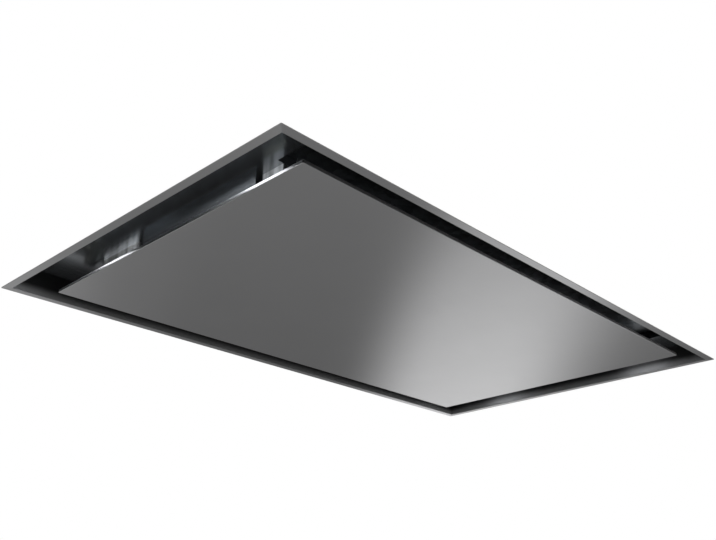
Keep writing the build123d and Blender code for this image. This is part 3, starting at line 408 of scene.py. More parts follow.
def grained_surface(name, colour, second, roughness, metallic=0.0, grain=0.8, depth=0.01, cloud=25.0):
    """A moulded, cast, plated or painted surface.

    Its fine grain, with a size and depth in millimetres, breaks the highlight up as a mould's or a casting's
    skin does. The second colour comes and goes in clouds, as plating, dust or flow marks do."""
    material, add = new_material(name)
    fine = add("TexNoise", Scale=1.0, Detail=2.0, Vector=pattern_space(add, grain))
    clouds = add("TexNoise", Scale=1.0, Detail=3.0, Vector=pattern_space(add, cloud))
    mixing = add("MapRange", Value=clouds, From_Min=0.3, From_Max=0.7)
    tone = add("Mix", {"data_type": "RGBA"}, i0=mixing, i6=linear(colour), i7=linear(second))
    rough = add("MapRange", Value=fine, To_Min=roughness * 0.85, To_Max=roughness * 1.15)
    bump = add("Bump", Strength=0.4, Distance=depth * MM, Height=fine)
    return finish_material(
        material, add, "BsdfPrincipled", Base_Color=tone, Metallic=metallic, Roughness=rough, Normal=bump
    )


def layered_foil():
    """The filter's inner layers: crumpled aluminium foil mesh, bright strands 2 mm apart, with painted shade
    in the dark gaps between them.
    """
    material, add = new_material("layered_filter_foil")
    space = pattern_space(add, 2.4, 1.6, 2.0)
    strands = add("TexVoronoi", {"feature": "DISTANCE_TO_EDGE"}, Scale=1.0, Vector=space)
    gap_depth_and_shade = add("MapRange", Value=strands, From_Min=0.05, From_Max=0.22)
    # painted shade: the gaps between the strands are dark grey
    tone = add("Mix", {"data_type": "RGBA"}, i0=gap_depth_and_shade, i6=linear("B9BBBD"), i7=linear("2B2C2E"))
    bump = add("Bump", {"invert": True}, Strength=0.9, Distance=0.8 * MM, Height=gap_depth_and_shade)
    return finish_material(
        material, add, "BsdfPrincipled", Base_Color=tone, Metallic=1.0, Roughness=0.42, Normal=bump
    )


def lit_acrylic(strength):
    """Frosted acrylic over a row of lit diodes: five soft bright spots, 12 mm apart, in an even cool glow."""
    material, add = new_material("lit_frosted_acrylic")
    along = add("SeparateXYZ", Vector=pattern_space(add, 12)).outputs["Y"]
    beat = add("Math", {"operation": "PINGPONG"}, i0=along, i1=0.5)
    spot = add("MapRange", Value=beat, From_Min=0.0, From_Max=0.5, To_Min=0.75, To_Max=1.0)
    glow = add("Mix", {"data_type": "RGBA"}, i0=spot, i6=linear("C9D0DA"), i7=linear("FAFCFF"))
    frost = add("TexNoise", Scale=1.0, Detail=2.0, Vector=pattern_space(add, 0.4))
    bump = add("Bump", Strength=0.4, Distance=0.02 * MM, Height=frost)
    return finish_material(
        material, add, "BsdfPrincipled", Base_Color=linear("EEF1F3"), Roughness=0.35, Normal=bump,
        Emission_Color=glow, Emission_Strength=strength,
    )


def circuit_board():
    """A circuit board: green solder mask with paler copper tracks under it, 2.5 mm apart."""
    material, add = new_material("circuit_board")
    space = pattern_space(add, 2.5)
    tracks = add("TexVoronoi", {"feature": "F2", "distance": "MANHATTAN"}, Scale=1.0, Vector=space)
    copper = add("MapRange", Value=tracks, From_Min=0.75, From_Max=0.8)
    tone = add("Mix", {"data_type": "RGBA"}, i0=copper, i6=linear("174B2C"), i7=linear("2F7A45"))
    bump = add("Bump", Strength=0.5, Distance=0.04 * MM, Height=copper)
    return finish_material(
        material, add, "BsdfPrincipled", Base_Color=tone, Roughness=0.32, Coat_Weight=0.3, Normal=bump
    )


def zinc_plating():
    """Zinc-plated steel of screws and hinges: bright, with the faint straw and blue of its passivation."""
    return bpy.data.materials.get("zinc_plated_steel") or grained_surface(
        "zinc_plated_steel", "C3C5C6", "BCB9A8", 0.27, metallic=1.0, grain=0.3, depth=0.006, cloud=7
    )


def black_moulding():
    """Black glass-filled polyamide, with the matt grain of an eroded mould."""
    return bpy.data.materials.get("black_polyamide") or grained_surface(
        "black_polyamide", "161617", "1D1D1E", 0.46, grain=0.5, depth=0.03
    )


# ---- sizes and colours that a user would change ----

class HoodFinishes(bpy.types.PropertyGroup):
    """Colours and gloss of the hood's finishes."""

    panel_colour: FloatVectorProperty(
        name="Panel", description="Colour of the brushed panel", subtype="COLOR", min=0, max=1,
        default=linear("C9C9CA"),
    )
    trim_colour: FloatVectorProperty(
        name="Trim", description="Colour of the brushed trim", subtype="COLOR", min=0, max=1,
        default=linear("C9C9CA"),
    )
    recess_colour: FloatVectorProperty(
        name="Recess", description="Colour of the bright steel in the recess", subtype="COLOR", min=0, max=1,
        default=linear("A6AAAE"),
    )
    galvanised_colour: FloatVectorProperty(
        name="Housing", description="Middle colour of the galvanised sheet", subtype="COLOR", min=0, max=1,
        default=linear("A9ADB0"),
    )
    brushed_roughness: FloatProperty(
        name="Brushed roughness", description="Roughness of the panel and the trim", subtype="FACTOR", min=0,
        max=1, default=0.3,
    )
    recess_roughness: FloatProperty(
        name="Recess roughness", description="Roughness of the recess's bright steel", subtype="FACTOR",
        min=0, max=1, default=0.2,
    )
    lamp_strength: FloatProperty(
        name="Lamp glow", description="Brightness of the lit lenses, where 1 is white paper", min=0, max=50,
        default=4.5,
    )


class HoodFineSizes(bpy.types.PropertyGroup):
    """Sizes of the hood's fine pieces."""

    mesh_pitch: FloatProperty(
        name="Mesh length", description="Long way across one diamond of the filter's outer sheet",
        unit="LENGTH", min=0.006, max=0.04, default=0.012,
    )
    mesh_width: FloatProperty(
        name="Mesh width", description="Short way across one diamond", unit="LENGTH", min=0.003, max=0.02,
        default=0.0065,
    )
    weld_radius: FloatProperty(
        name="Spot weld", description="Radius of a spot weld's mark", unit="LENGTH", min=0.001, max=0.005,
        default=0.0026,
    )
    bead_height: FloatProperty(
        name="Duct bead", description="Height of the beads rolled into the duct spigot", unit="LENGTH",
        min=0.0005, max=0.004, default=0.0018,
    )
    conduit_pitch: FloatProperty(
        name="Conduit ribs", description="Distance between the ribs of the corrugated conduits",
        unit="LENGTH", min=0.001, max=0.01, default=0.003,
    )
    rim_edge: FloatProperty(
        name="Panel edge", description="Radius of the panel's folded edge", unit="LENGTH", min=0.0001,
        max=0.002, default=0.0006,
    )


class HoodStage(bpy.types.PropertyGroup):
    """The camera and the light."""

    lens: FloatProperty(
        name="Lens", description="Focal length", unit="CAMERA", min=10, max=200, default=41.99
    )
    camera_place: FloatVectorProperty(
        name="Camera", description="Where the camera stands", subtype="TRANSLATION", unit="LENGTH",
        default=(-0.8396, -0.6848, -0.3913),
    )
    high_power: FloatProperty(
        name="High softbox", description="Power of the lamp above", unit="POWER", min=0, default=90
    )
    low_power: FloatProperty(
        name="Low softboxes", description="Power of the lamps below", unit="POWER", min=0, default=12
    )
    strip_strength: FloatProperty(
        name="Strip", description="Brightness of the bowl's lit strip", min=0, max=5, default=1.0
    )
    flag_strength: FloatProperty(
        name="Flags", description="Brightness of the bowl's grey flags", min=0, max=2, default=0.1
    )


# ---- fine shapes ----

def spot_weld(bm, centre, radius, axis="Z", side=1):
    """The mark that a spot welder's tip leaves: a shallow dish with a raised rim, 0.15 mm high."""
    dish = ((1, -0.02), (0.9, 0.12), (0.7, 0.15), (0.5, 0.06), (0, 0.03))
    turned(bm, [(radius * share, side * height) for share, height in dish], centre, axis, 14)


def expanded_sheet(bm, low, high, level, length, width):
    """Slit and stretched sheet: staggered diamond holes between strands that lie tilted.

    Each diamond's strands are drawn as loops of (share of the diamond, height, tilt) in millimetres."""
    strand = ((1, 0, 0), (0.72, -0.2, 0.25), (0.72, 0.2, 0.25), (1, 0.4, 0))
    columns, rows = round((high[0] - low[0]) / length), round((high[1] - low[1]) / width)
    length, width = (high[0] - low[0]) / columns, (high[1] - low[1]) / rows
    for half_row in range(1, 2 * rows):
        odd = half_row % 2
        for column in range(columns if odd else columns - 1):
            x = low[0] + (column + (0.5 if odd else 1)) * length
            centre = mm(x, low[1] + half_row * width / 2, level)
            bridge(bm, [
                [
                    bm.verts.new(centre + mm(share * u * length / 2, share * v * width / 2, rise + tilt * v))
                    for u, v in ((1, 0), (0, 1), (-1, 0), (0, -1))
                ]
                for share, rise, tilt in strand
            ])


def cross_recess(reach, half_width):
    """The radius of a cross with arms of that reach and half width, at each angle."""
    def edge(angle):
        off = abs((angle + pi / 4) % (pi / 2) - pi / 4)
        return min(reach / cos(off), half_width / max(sin(off), 1e-6))
    return edge


def cross_head(bm, centre, radius, height, axis="Z"):
    """A pan head with a cross recess, standing on centre along an axis."""
    pan = ((1, 0), (1, 0.22), (0.95, 0.5), (0.76, 0.8), (0.55, 0.95))
    profile = [(radius * out, height * up) for out, up in pan]
    profile.append((cross_recess(0.47 * radius, 0.1 * radius), height))
    profile.append((cross_recess(0.34 * radius, 0.06 * radius), 0.4 * height))
    profile.append((0, 0.3 * height))
    turned(bm, profile, centre, axis)


def hexagon(corner):
    """The radius of a hexagon at each angle, given the radius at its corners."""
    return lambda angle: corner * cos(pi / 6) / cos(angle % (pi / 3) - pi / 6)


def fluted(reach):
    """The radius of a grip with 18 flutes, 0.45 mm deep, at each angle."""
    return lambda angle: reach - 0.45 * (1 + cos(18 * angle)) / 2


def rounded_route(corners, radius):
    """Points along a flat route whose corners are arcs of a radius, 24 steps to a right angle."""
    points = [Vector(corners[0])]
    for before, corner, after in zip(corners, corners[1:], corners[2:]):
        before, corner, after = Vector(before), Vector(corner), Vector(after)
        back, ahead = (before - corner).normalized(), (after - corner).normalized()
        centre = corner + (back + ahead) * radius
        for step in range(25):
            angle = pi / 2 * step / 24
            points.append(centre - ahead * radius * cos(angle) - back * radius * sin(angle))
    points.append(Vector(corners[-1]))
    return points


def corrugated(bm, route, level, radius, pitch, segments=14):
    """A ribbed tube along a flat route: four rings to a rib, with the groove 0.7 mm deep."""
    groove = (0, 0.12, 0.7, 0.12)
    lengths = [0.0]
    for a, b in zip(route, route[1:]):
        lengths.append(lengths[-1] + (b - a).length)
    steps = int(lengths[-1] / pitch * len(groove))
    rings, leg = [], 0
    for step in range(steps + 1):
        along = lengths[-1] * step / steps
        while leg < len(route) - 2 and lengths[leg + 1] < along:
            leg += 1
        a, b = route[leg], route[leg + 1]
        point = a.lerp(b, (along - lengths[leg]) / max(lengths[leg + 1] - lengths[leg], 1e-9))
        across = Vector((a.y - b.y, b.x - a.x)).normalized()
        reach = radius - groove[step % len(groove)]
        rings.append([
            bm.verts.new(mm(*(point + across * reach * cos(turn)), level + reach * sin(turn)))
            for turn in (2 * pi * number / segments for number in range(segments))
        ])
    bridge(bm, rings)
    bm.faces.new(rings[0])
    bm.faces.new(rings[-1])


def saddle(bm, heads, x, y, along):
    """A sheet strap over a conduit that runs along X or Y, with a foot on one side and its screw."""
    inner, outer, foot, width, screw_reach = 3.6, 4.3, 13, 8, 8.8
    line, start = (y, x - width / 2) if along == "X" else (x, y - width / 2)
    axis, plate_top = HOUSING_TOP + 3.5, HOUSING_TOP + outer - inner
    turns = [pi * step / 12 for step in range(13)]
    outline = [(line + outer, HOUSING_TOP)]
    outline += [(line + outer * cos(turn), axis + outer * sin(turn)) for turn in turns]
    outline += [(line - outer, plate_top), (line - foot, plate_top), (line - foot, HOUSING_TOP)]
    outline.append((line - inner, HOUSING_TOP))
    outline += [(line - inner * cos(turn), axis + inner * sin(turn)) for turn in turns]
    outline.append((line + inner, HOUSING_TOP))
    pulled(bm, outline, along, start, start + width)
    place = (x, y - screw_reach, plate_top) if along == "X" else (x - screw_reach, y, plate_top)
    cross_head(heads, place, 2.6, 1.4)


# ---- pieces ----

class HOOD_OT_trim_and_panel(bpy.types.Operator):
    """Brushed steel on the trim and the panel, and the panel's galvanised back with its spot welds"""

    bl_idname = "hood.trim_and_panel"
    bl_label = "Trim and panel"

    def execute(self, context):
        finishes, sizes = context.scene.hood_finishes, context.scene.hood_sizes
        brushing = ("X", "Y", finishes.brushed_roughness)
        trim = brushed_stainless("brushed_trim_steel", finishes.trim_colour, *brushing, mitred=True)
        dress(["trim_frame"], trim, edge=0.2)
        panel = brushed_stainless("brushed_panel_steel", finishes.panel_colour, *brushing)
        dress(["panel_skin"], panel, edge=sizes.rim_edge / MM)
        galvanised = galvanised_sheet(finishes.galvanised_colour)
        dress(["panel_liner"], galvanised, edge=0.3)
        dress(["panel_ribs"], galvanised, edge=0.5)

        # rows of welds along the liner's long and short edges, and on both feet of each rib
        pitch, short_pitch, long_row, short_row, rib_rows = 60, 58, 206, 382, (57.5, 92.5)
        liner, foot = 5, 6
        places = [(x, side * long_row, liner) for x in range(-360, 361, pitch) for side in SIDES]
        places += [(side * short_row, y, liner) for side in SIDES for y in range(-160, 131, short_pitch)]
        places += [(x, side * y, foot) for x in range(-300, 301, pitch) for side in SIDES for y in rib_rows]
        bm = bmesh.new()
        for place in places:
            spot_weld(bm, place, sizes.weld_radius / MM)
        add_piece("panel_spot_welds", bm, galvanised, "panel", smooth=60)
        return {"FINISHED"}


class HOOD_OT_recess(bpy.types.Operator):
    """Bright steel of the recess, and the flaps that carry the hinges and the magnets"""

    bl_idname = "hood.recess"
    bl_label = "Recess"

    def execute(self, context):
        looks = context.scene.hood_finishes
        bright = bright_rolled_stainless("bright_recess_steel", looks.recess_colour, looks.recess_roughness)
        dress(["recess_pan"], bright, edge=0.4)
        self.make_corner_plates(bright)
        flap = brushed_stainless("brushed_flap_steel", linear("E8EAEB"), "Y", "Z", 0.38, ripple=0.25)
        dress(["hinge_carrier_left", "hinge_carrier_right"], flap, edge=0.3)
        dress(["catch_carrier_left", "catch_carrier_right"], flap, edge=0.3)
        zinc = zinc_plating()
        dress(["hinge_leaf_left", "hinge_leaf_right", "strike_plates"], zinc, edge=0.3)
        dress(["hinge_pins"], zinc, edge=0.4)
        self.make_magnets(zinc)
        return {"FINISHED"}

    def make_corner_plates(self, bright):
        """Folded plates that close the pan's far corners: each a flat with a flange along its inner edge."""
        inner, outer, near, far, sheet, flange_top = 354, 378, 157, 205, 1, 43
        plate_top = RECESS_LEVEL + sheet
        bm = bmesh.new()
        for side in SIDES:
            block(bm, (side * inner, near, RECESS_LEVEL), (side * outer, far, plate_top))
            block(bm, (side * inner, near, plate_top), (side * (inner + sheet), far, flange_top))
        add_piece("recess_corner_plates", bm, bright, "housing", edge=0.2)

    def make_magnets(self, zinc):
        """Each magnet's ferrite core between its two steel pole plates."""
        plate, corner, end_gap, face_gap = 1.5, 0.8, 0.8, 0.5
        ferrite = grained_surface("pressed_ferrite", "2C2C2E", "3A3938", 0.5, grain=0.7, depth=0.06, cloud=6)
        poles, cores = bmesh.new(), bmesh.new()
        for low, high in solid_boxes("catch_magnets"):
            outline = rounded_rectangle(middle(low, high)[1:], extent(low, high)[1:], corner, 3)
            for x in (low[0], high[0] - plate):
                pulled(poles, outline, "X", x, x + plate)
            block(
                cores, (low[0] + plate, low[1] + end_gap, low[2] + face_gap),
                (high[0] - plate, high[1] - end_gap, high[2]),
            )
        add_piece("magnet_pole_plates", poles, zinc, "housing", edge=0.15)
        add_piece("magnet_cores", cores, ferrite, "housing", ["catch_magnets"], edge=0.4)


class HOOD_OT_lamps(bpy.types.Operator):
    """The four lit lenses with their chromed bezels"""

    bl_idname = "hood.lamps"
    bl_label = "Lamps"

    def execute(self, context):
        bodies, lenses = ([f"lamp_{kind}_{number}" for number in range(1, 5)] for kind in ("body", "lens"))
        grey = grained_surface("grey_polycarbonate", "8E9092", "878A8D", 0.4, grain=0.6, depth=0.02)
        dress(bodies, grey, edge=0.5)
        dress(lenses, lit_acrylic(context.scene.hood_finishes.lamp_strength), edge=0.3)
        chrome = grained_surface("chromed_zinc", "D3D5D8", "CBCDD1", 0.1, 1.0, grain=0.4, depth=0.002)

        # the bezel's section as (distance out from the lens, drop below the recess)
        section = ((0.1, 0), (0.1, 0.45), (0.5, 0.7), (1.1, 0.7), (1.7, 0.4), (1.8, 0))
        lens_corner = 1.2
        bm = bmesh.new()
        for lens in lenses:
            (low, high) = solid_boxes(lens)[0]
            loops = []
            for out, drop in section:
                size = [length + 2 * out for length in extent(low, high)]
                outline = rounded_rectangle(middle(low, high), size, lens_corner + out)
                loops.append([bm.verts.new(mm(x, y, RECESS_LEVEL - drop)) for x, y in outline])
            bridge(bm, loops, closed=True)
        add_piece("lamp_bezels", bm, chrome, "housing", smooth=50)
        return {"FINISHED"}


class HOOD_OT_filters(bpy.types.Operator):
    """The grease filters: aluminium frames, expanded sheet, foil layers, corner rivets and finger grips"""

    bl_idname = "hood.filters"
    bl_label = "Filters"

    def execute(self, context):
        sizes = context.scene.hood_sizes
        drawn = brushed_stainless("drawn_aluminium", linear("C6C8CA"), "X", "Y", roughness=0.34, pull=0.5)
        sheet = grained_surface(
            "slit_aluminium_sheet", "D2D4D5", "BFC1C3", 0.28, metallic=1.0, grain=0.5, depth=0.02
        )
        dress(["filter_frame"], bpy.data.materials["galvanised_sheet"], edge=0.4)
        dress(["cassette_left", "cassette_right"], drawn, edge=0.5)
        dress(["mesh_pack_left", "mesh_pack_right"], layered_foil())
        dress(["grip_left", "grip_right"], black_moulding(), edge=0.7)

        border, sheet_rise, rivet_inset = 12, 1.4, 6
        rivet = [(2.2, 0.05), (2.2, -0.25), (1.7, -0.7), (0.9, -0.95), (0.7, -0.5), (0, -0.45)]
        for side in ("left", "right"):
            (low, high) = solid_boxes(f"cassette_{side}")[0]
            bm = bmesh.new()
            inside = [value + border for value in low], [value - border for value in high]
            expanded_sheet(bm, *inside, low[2] + sheet_rise, sizes.mesh_pitch / MM, sizes.mesh_width / MM)
            add_piece(f"expanded_sheet_{side}", bm, sheet, f"filter_{side}", smooth=40)
            bm = bmesh.new()
            columns, rows = ((low[i] + rivet_inset, high[i] - rivet_inset) for i in (0, 1))
            for x, y in product(columns, rows):
                turned(bm, rivet, (x, y, low[2]), segments=20)
            add_piece(f"cassette_rivets_{side}", bm, drawn, f"filter_{side}", smooth=50)
        return {"FINISHED"}


class HOOD_OT_housing(bpy.types.Operator):
    """Galvanised housing and blower box with lapped corners, spot welds and hangers"""

    bl_idname = "hood.housing"
    bl_label = "Housing"

    def execute(self, context):
        radius = context.scene.hood_sizes.weld_radius / MM
        galvanised = bpy.data.materials["galvanised_sheet"]
        dress(["lower_housing", "blower_box"], galvanised, edge=0.5)
        dress([f"hanger_{number}" for number in range(1, 5)], galvanised, edge=0.6)

        # each lap: half the wall's length, half the width, its foot, its top, and the pitch of its welds
        lap_width, sheet, taper, weld_foot, weld_head = 13, 0.8, 0.6, 6, 2
        corner_laps = (
            (440.2, 240.2, 97.5, 110.5, 11), (440.2, 240.2, 61.5, 75, 12), (190, 190, 115, 296, 30)
        )
        laps, welds = bmesh.new(), bmesh.new()
        for sx, sy, (half, wall, foot, top, pitch) in product(SIDES, SIDES, corner_laps):
            edge, inner, face = sx * half, sx * (half - lap_width), sy * (wall + sheet)
            outline = [(edge, sy * wall), (edge, face), (inner, face), (inner - sx * taper, sy * wall)]
            pulled(laps, outline, "Z", foot, top)
            height = foot + weld_foot
            while height < top - weld_head:
                spot_weld(welds, (sx * (half - lap_width / 2), face, height), radius, "Y", sy)
                height += pitch

        # rows of welds on the housing's top, clear of the hangers at |x| = 380
        long_row, short_row, pitch, short_pitch, hanger_x, hanger_gap = 226, 426, 76, 60, 380, 40
        columns = [x for x in range(-380, 381, pitch) if abs(abs(x) - hanger_x) > hanger_gap]
        rows = range(-150, 151, short_pitch)
        places = [(x, sy * long_row, HOUSING_TOP) for x, sy in product(columns, SIDES)]
        places += [(sx * short_row, y, HOUSING_TOP) for y, sx in product(rows, SIDES)]
        for place in places:
            spot_weld(welds, place, radius)
        add_piece("housing_corner_laps", laps, galvanised, "housing", edge=0.2)
        add_piece("housing_spot_welds", welds, galvanised, "housing", smooth=60)
        return {"FINISHED"}


class HOOD_OT_blower(bpy.types.Operator):
    """The blower inside its box: volute, inlet ring, wheel, motor and its mounting"""

    bl_idname = "hood.blower"
    bl_label = "Blower"

    def execute(self, context):
        dress(["volute", "inlet_ring"], black_moulding())
        wheel = grained_surface("filled_polypropylene", "3A3B3D", "333436", 0.45, grain=0.6, depth=0.03)
        dress(["impeller"], wheel, smooth=40)
        dress(["motor_shaft"], zinc_plating(), edge=0.3)
        cast = grained_surface(
            "cast_aluminium", "85878B", "9A9C9F", 0.42, metallic=1.0, grain=1.1, depth=0.1, cloud=14
        )
        dress(["motor"], cast, edge=0.8)
        dress(["motor_plate"], bpy.data.materials["galvanised_sheet"], edge=0.4)
        rubber = grained_surface("bush_rubber", "121212", "1B1A19", 0.7, grain=0.5, depth=0.04)
        dress(["motor_bushes"], rubber, edge=0.6)

        # cooling ribs on the motor's shoulder, 12 mm below the top of its boss
        rib_count, start, end, half_width = 24, 30, 50, 0.9
        (low, high) = solid_boxes("motor")[0]
        foot, top = high[2] - 12.2, high[2] - 10.4
        centre = Vector(middle(low, high)[:2])
        bm = bmesh.new()
        for number in range(rib_count):
            angle = 2 * pi * number / rib_count
            along, across = Vector((cos(angle), sin(angle))), Vector((-sin(angle), cos(angle)))
            pulled(bm, [
                centre + along * reach + across * side * half_width
                for reach, side in ((start, 1), (start, -1), (end, -1), (end, 1))
            ], "Z", foot, top)
        add_piece("motor_cooling_ribs", bm, cast, "housing", edge=0.3)
        return {"FINISHED"}


class HOOD_OT_duct(bpy.types.Operator):
    """The duct spigot with its rolled beads, and the two flaps with their ribs"""

    bl_idname = "hood.duct"
    bl_label = "Duct"

    def execute(self, context):
        galvanised = bpy.data.materials["galvanised_sheet"]
        dress(["duct_spigot"], galvanised, edge=0.2, smooth=40)
        dress(["flap_pin"], zinc_plating(), edge=0.3)
        polypropylene = grained_surface("grey_polypropylene", "94979A", "8A8D90", 0.42, grain=0.6, depth=0.02)
        dress(["flap_far", "flap_near"], polypropylene, edge=0.2)
        self.make_beads(context.scene.hood_sizes.bead_height / MM, galvanised)
        self.make_flap_ribs(polypropylene)
        return {"FINISHED"}

    def make_beads(self, bead, galvanised):
        """Two beads rolled into the spigot, and the curl at its mouth."""
        axis, radius, mouth, half_width, foot, inside, segments = (0, -50, 200), 75, 276, 3, 3.2, 74.95, 96
        bm = bmesh.new()
        for x in (228, 252):
            rise = [
                (radius + bead * (1 - cos(pi * step / 4)) / 2, x + half_width * (step / 4 - 1))
                for step in range(9)
            ]
            turned(bm, [(inside, x - foot)] + rise + [(inside, x + foot)], axis, "X", segments)
        curl = ((0, 5), (0.5, 4.7), (0.9, 3.8), (1, 2.5), (0.9, 1.2), (0.5, 0.3), (-0.1, 0))
        turned(bm, [(radius + out, mouth - back) for out, back in curl], axis, "X", segments)
        add_piece("spigot_beads", bm, galvanised, "housing", smooth=60)

    def make_flap_ribs(self, polypropylene):
        """Three stiffening ribs on each flap, the middle one longer."""
        pin_y, foot, top, start, half = -50, 199.05, 200.2, 12, 0.8
        for side, sign in (("far", 1), ("near", -1)):
            bm = bmesh.new()
            for z, reach in ((168, 46), (200, 58), (232, 46)):
                block(bm, (foot, pin_y + sign * start, z - half), (top, pin_y + sign * reach, z + half))
            add_piece(f"flap_ribs_{side}", bm, polypropylene, f"{side}_flap", edge=0.3)


class HOOD_OT_electrics(bpy.types.Operator):
    """The control box with its board, terminals, capacitor and gland, and the lamp driver"""

    bl_idname = "hood.electrics"
    bl_label = "Electrics"

    def execute(self, context):
        grey = grained_surface("grey_abs", "909396", "87898C", 0.44, grain=0.6, depth=0.03)
        white = grained_surface("white_polyamide", "D8D8D3", "CFCEC6", 0.42, grain=0.6, depth=0.02)
        dress(["control_box", "control_lid"], grey, edge=0.6)
        dress(["terminal_block", "run_capacitor", "lamp_driver"], white, edge=0.5)
        dress(["control_board"], circuit_board(), edge=0.1)
        self.make_screws()
        self.make_louvres(grey)
        self.make_driver_ribs(white)
        self.make_gland()
        return {"FINISHED"}

    def make_screws(self):
        """The four screws of the lid, and the ten of the terminal block."""
        bm = bmesh.new()
        (low, high) = solid_boxes("control_lid")[0]
        inset = 10
        for x, y in product((low[0] + inset, high[0] - inset), (low[1] + inset, high[1] - inset)):
            cross_head(bm, (x, y, high[2] - SUNK), 3.2, 1.5)
        (low, high) = solid_boxes("terminal_block")[0]
        inset, pitch = 5, 10
        for x, number in product((low[0] + inset, high[0] - inset), range(5)):
            cross_head(bm, (x, low[1] + inset + pitch * number, high[2] - SUNK), 1.9, 0.8)
        add_piece("control_box_screws", bm, zinc_plating(), "housing", smooth=45)

    def make_louvres(self, grey):
        """Two columns of eight louvres on the lid, each a small lifted lip."""
        foot = solid_boxes("control_lid")[0][1][2] - SUNK
        lip = ((-2.6, 0), (-1.9, 1.1), (-0.4, 1.7), (1.2, 1.5), (1.7, 0))
        half_length, first, pitch = 19, -35, 10
        bm = bmesh.new()
        for row, x in product(range(8), (-330, -280)):
            outline = [(first + row * pitch + across, foot + up) for across, up in lip]
            pulled(bm, outline, "X", x - half_length, x + half_length)
        add_piece("control_lid_louvres", bm, grey, "housing", edge=0.35)

    def make_driver_ribs(self, white):
        """Twelve ribs across the lamp driver's cover."""
        (low, high) = solid_boxes("lamp_driver")[0]
        section = ((-1.6, 0), (-1.0, 1), (1.0, 1), (1.6, 0))
        first, pitch, side_gap, foot = low[0] + 15, 8, 5, high[2] - SUNK
        bm = bmesh.new()
        for number in range(12):
            outline = [(first + number * pitch + across, foot + up) for across, up in section]
            pulled(bm, outline, "Y", low[1] + side_gap, high[1] - side_gap)
        add_piece("driver_ribs", bm, white, "housing", edge=0.3)

    def make_gland(self):
        """The gland: a locknut inside the wall, a hexagon outside, a fluted cap and the cable's hollow."""
        wall, segments = (-380, 0, 134), 72
        nut = [(9, 5.8), (hexagon(12), 5.8), (hexagon(12), 1.2), (9.2, 1.0)]
        body = [(9.2, -0.4), (9.2, -0.6), (hexagon(12), -0.6), (hexagon(12), -5.5), (hexagon(11.6), -6)]
        cap = [(8.9, -6.1), (8.9, -7.2), (fluted(11), -7.6), (fluted(11), -13.5), (fluted(10.4), -15)]
        mouth = [(8.6, -17), (6.4, -17.9), (4.6, -18), (4.1, -17.2), (4.1, -6), (4.1, 5.8), (9, 5.8)]
        bm = bmesh.new()
        turned(bm, nut + body + cap + mouth, wall, "X", segments)
        add_piece(
            "cable_gland_detail", bm, black_moulding(), "housing", ["cable_gland"], smooth=35
        )


class HOOD_OT_conduits(bpy.types.Operator):
    """Corrugated conduits of the motor's and the lamps' leads, held by saddles"""

    bl_idname = "hood.conduits"
    bl_label = "Conduits"

    def execute(self, context):
        pitch = context.scene.hood_sizes.conduit_pitch / MM
        bend, box_x, row_y, driver_x = 14, -267.5, 219.5, 345
        routes = {
            "motor_conduit": [(-230, 32.5), (-190, 32.5)],
            "driver_conduit": [(box_x, 65), (box_x, row_y), (driver_x, row_y), (driver_x, 130)],
        }
        for name, corners in routes.items():
            foot, top = (corner[2] for corner in solid_boxes(name)[0])
            bm = bmesh.new()
            corrugated(bm, rounded_route(corners, bend), (foot + top) / 2, (top - foot) / 2, pitch)
            tube = black_moulding()
            add_piece(f"corrugated_{name}", bm, tube, "housing", [name], smooth=60)
        bm, heads = bmesh.new(), bmesh.new()
        for x in range(-180, 301, 120):
            saddle(bm, heads, x, row_y, "X")
        saddle(bm, heads, box_x, 140, "Y")
        saddle(bm, heads, driver_x, 175, "Y")
        add_piece("conduit_saddles", bm, zinc_plating(), "housing", smooth=40)
        add_piece("saddle_screws", heads, zinc_plating(), "housing", smooth=45)
        return {"FINISHED"}


class HOOD_OT_fasteners(bpy.types.Operator):
    """Cross-recess screws and blind rivets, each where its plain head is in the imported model"""

    bl_idname = "hood.fasteners"
    bl_label = "Fasteners"

    def execute(self, context):
        zinc = zinc_plating()
        screws = (
            ("box_screws", "housing", "Z"), ("housing_screws", "housing", "Z"),
            ("panel_screws", "panel", "Z"), ("spigot_screws", "housing", "X"),
        )
        for name, body, axis in screws:
            bm = bmesh.new()
            along = "XYZ".index(axis)
            for low, high in solid_boxes(name):
                foot = middle(low, high)
                foot[along] = low[along]
                size = extent(low, high)
                cross_head(bm, foot, size[(along + 1) % 3] / 2, size[along], axis)
            add_piece(f"cross_recess_{name}", bm, zinc, body, [name], smooth=45)
        rivet = [(4, 0), (4, 0.3), (3.5, 1.1), (2.5, 1.7), (1.5, 2)]
        rivet += [(1.25, 1.9), (1.2, 0.9), (0.9, 1), (0, 1.1)]
        bm = bmesh.new()
        for low, high in solid_boxes("hanger_rivets"):
            turned(bm, rivet, (*middle(low, high)[:2], low[2]))
        add_piece("blind_hanger_rivets", bm, zinc, "housing", ["hanger_rivets"], smooth=45)
        return {"FINISHED"}


# ---- stage ----

def softbox(name, position, size, power, lit=(), target=(0, 0, 0)):
    """A square area lamp with its width in metres and its power in watts.

    Given some CAD nodes, it lights only them, as if it were flagged off the panel, which would mirror it."""
    data = bpy.data.lights.new(name, "AREA")
    data.size = size
    data.energy = power
    lamp = bpy.data.objects.new(name, data)
    bpy.context.scene.collection.objects.link(lamp)
    lamp.location = position
    lamp.rotation_mode = "QUATERNION"
    lamp.rotation_quaternion = (Vector(target) - Vector(position)).to_track_quat("-Z", "Y")
    if lit:
        lamp.light_linking.receiver_collection = bpy.data.collections.new(name)
        for node in lit:
            lamp.light_linking.receiver_collection.objects.link(nodes[node])


def stage_piece(name, bm, material):
    """A piece of the stage, which isn't part of the hood."""
    piece = new_object(name, bm, material)
    return piece


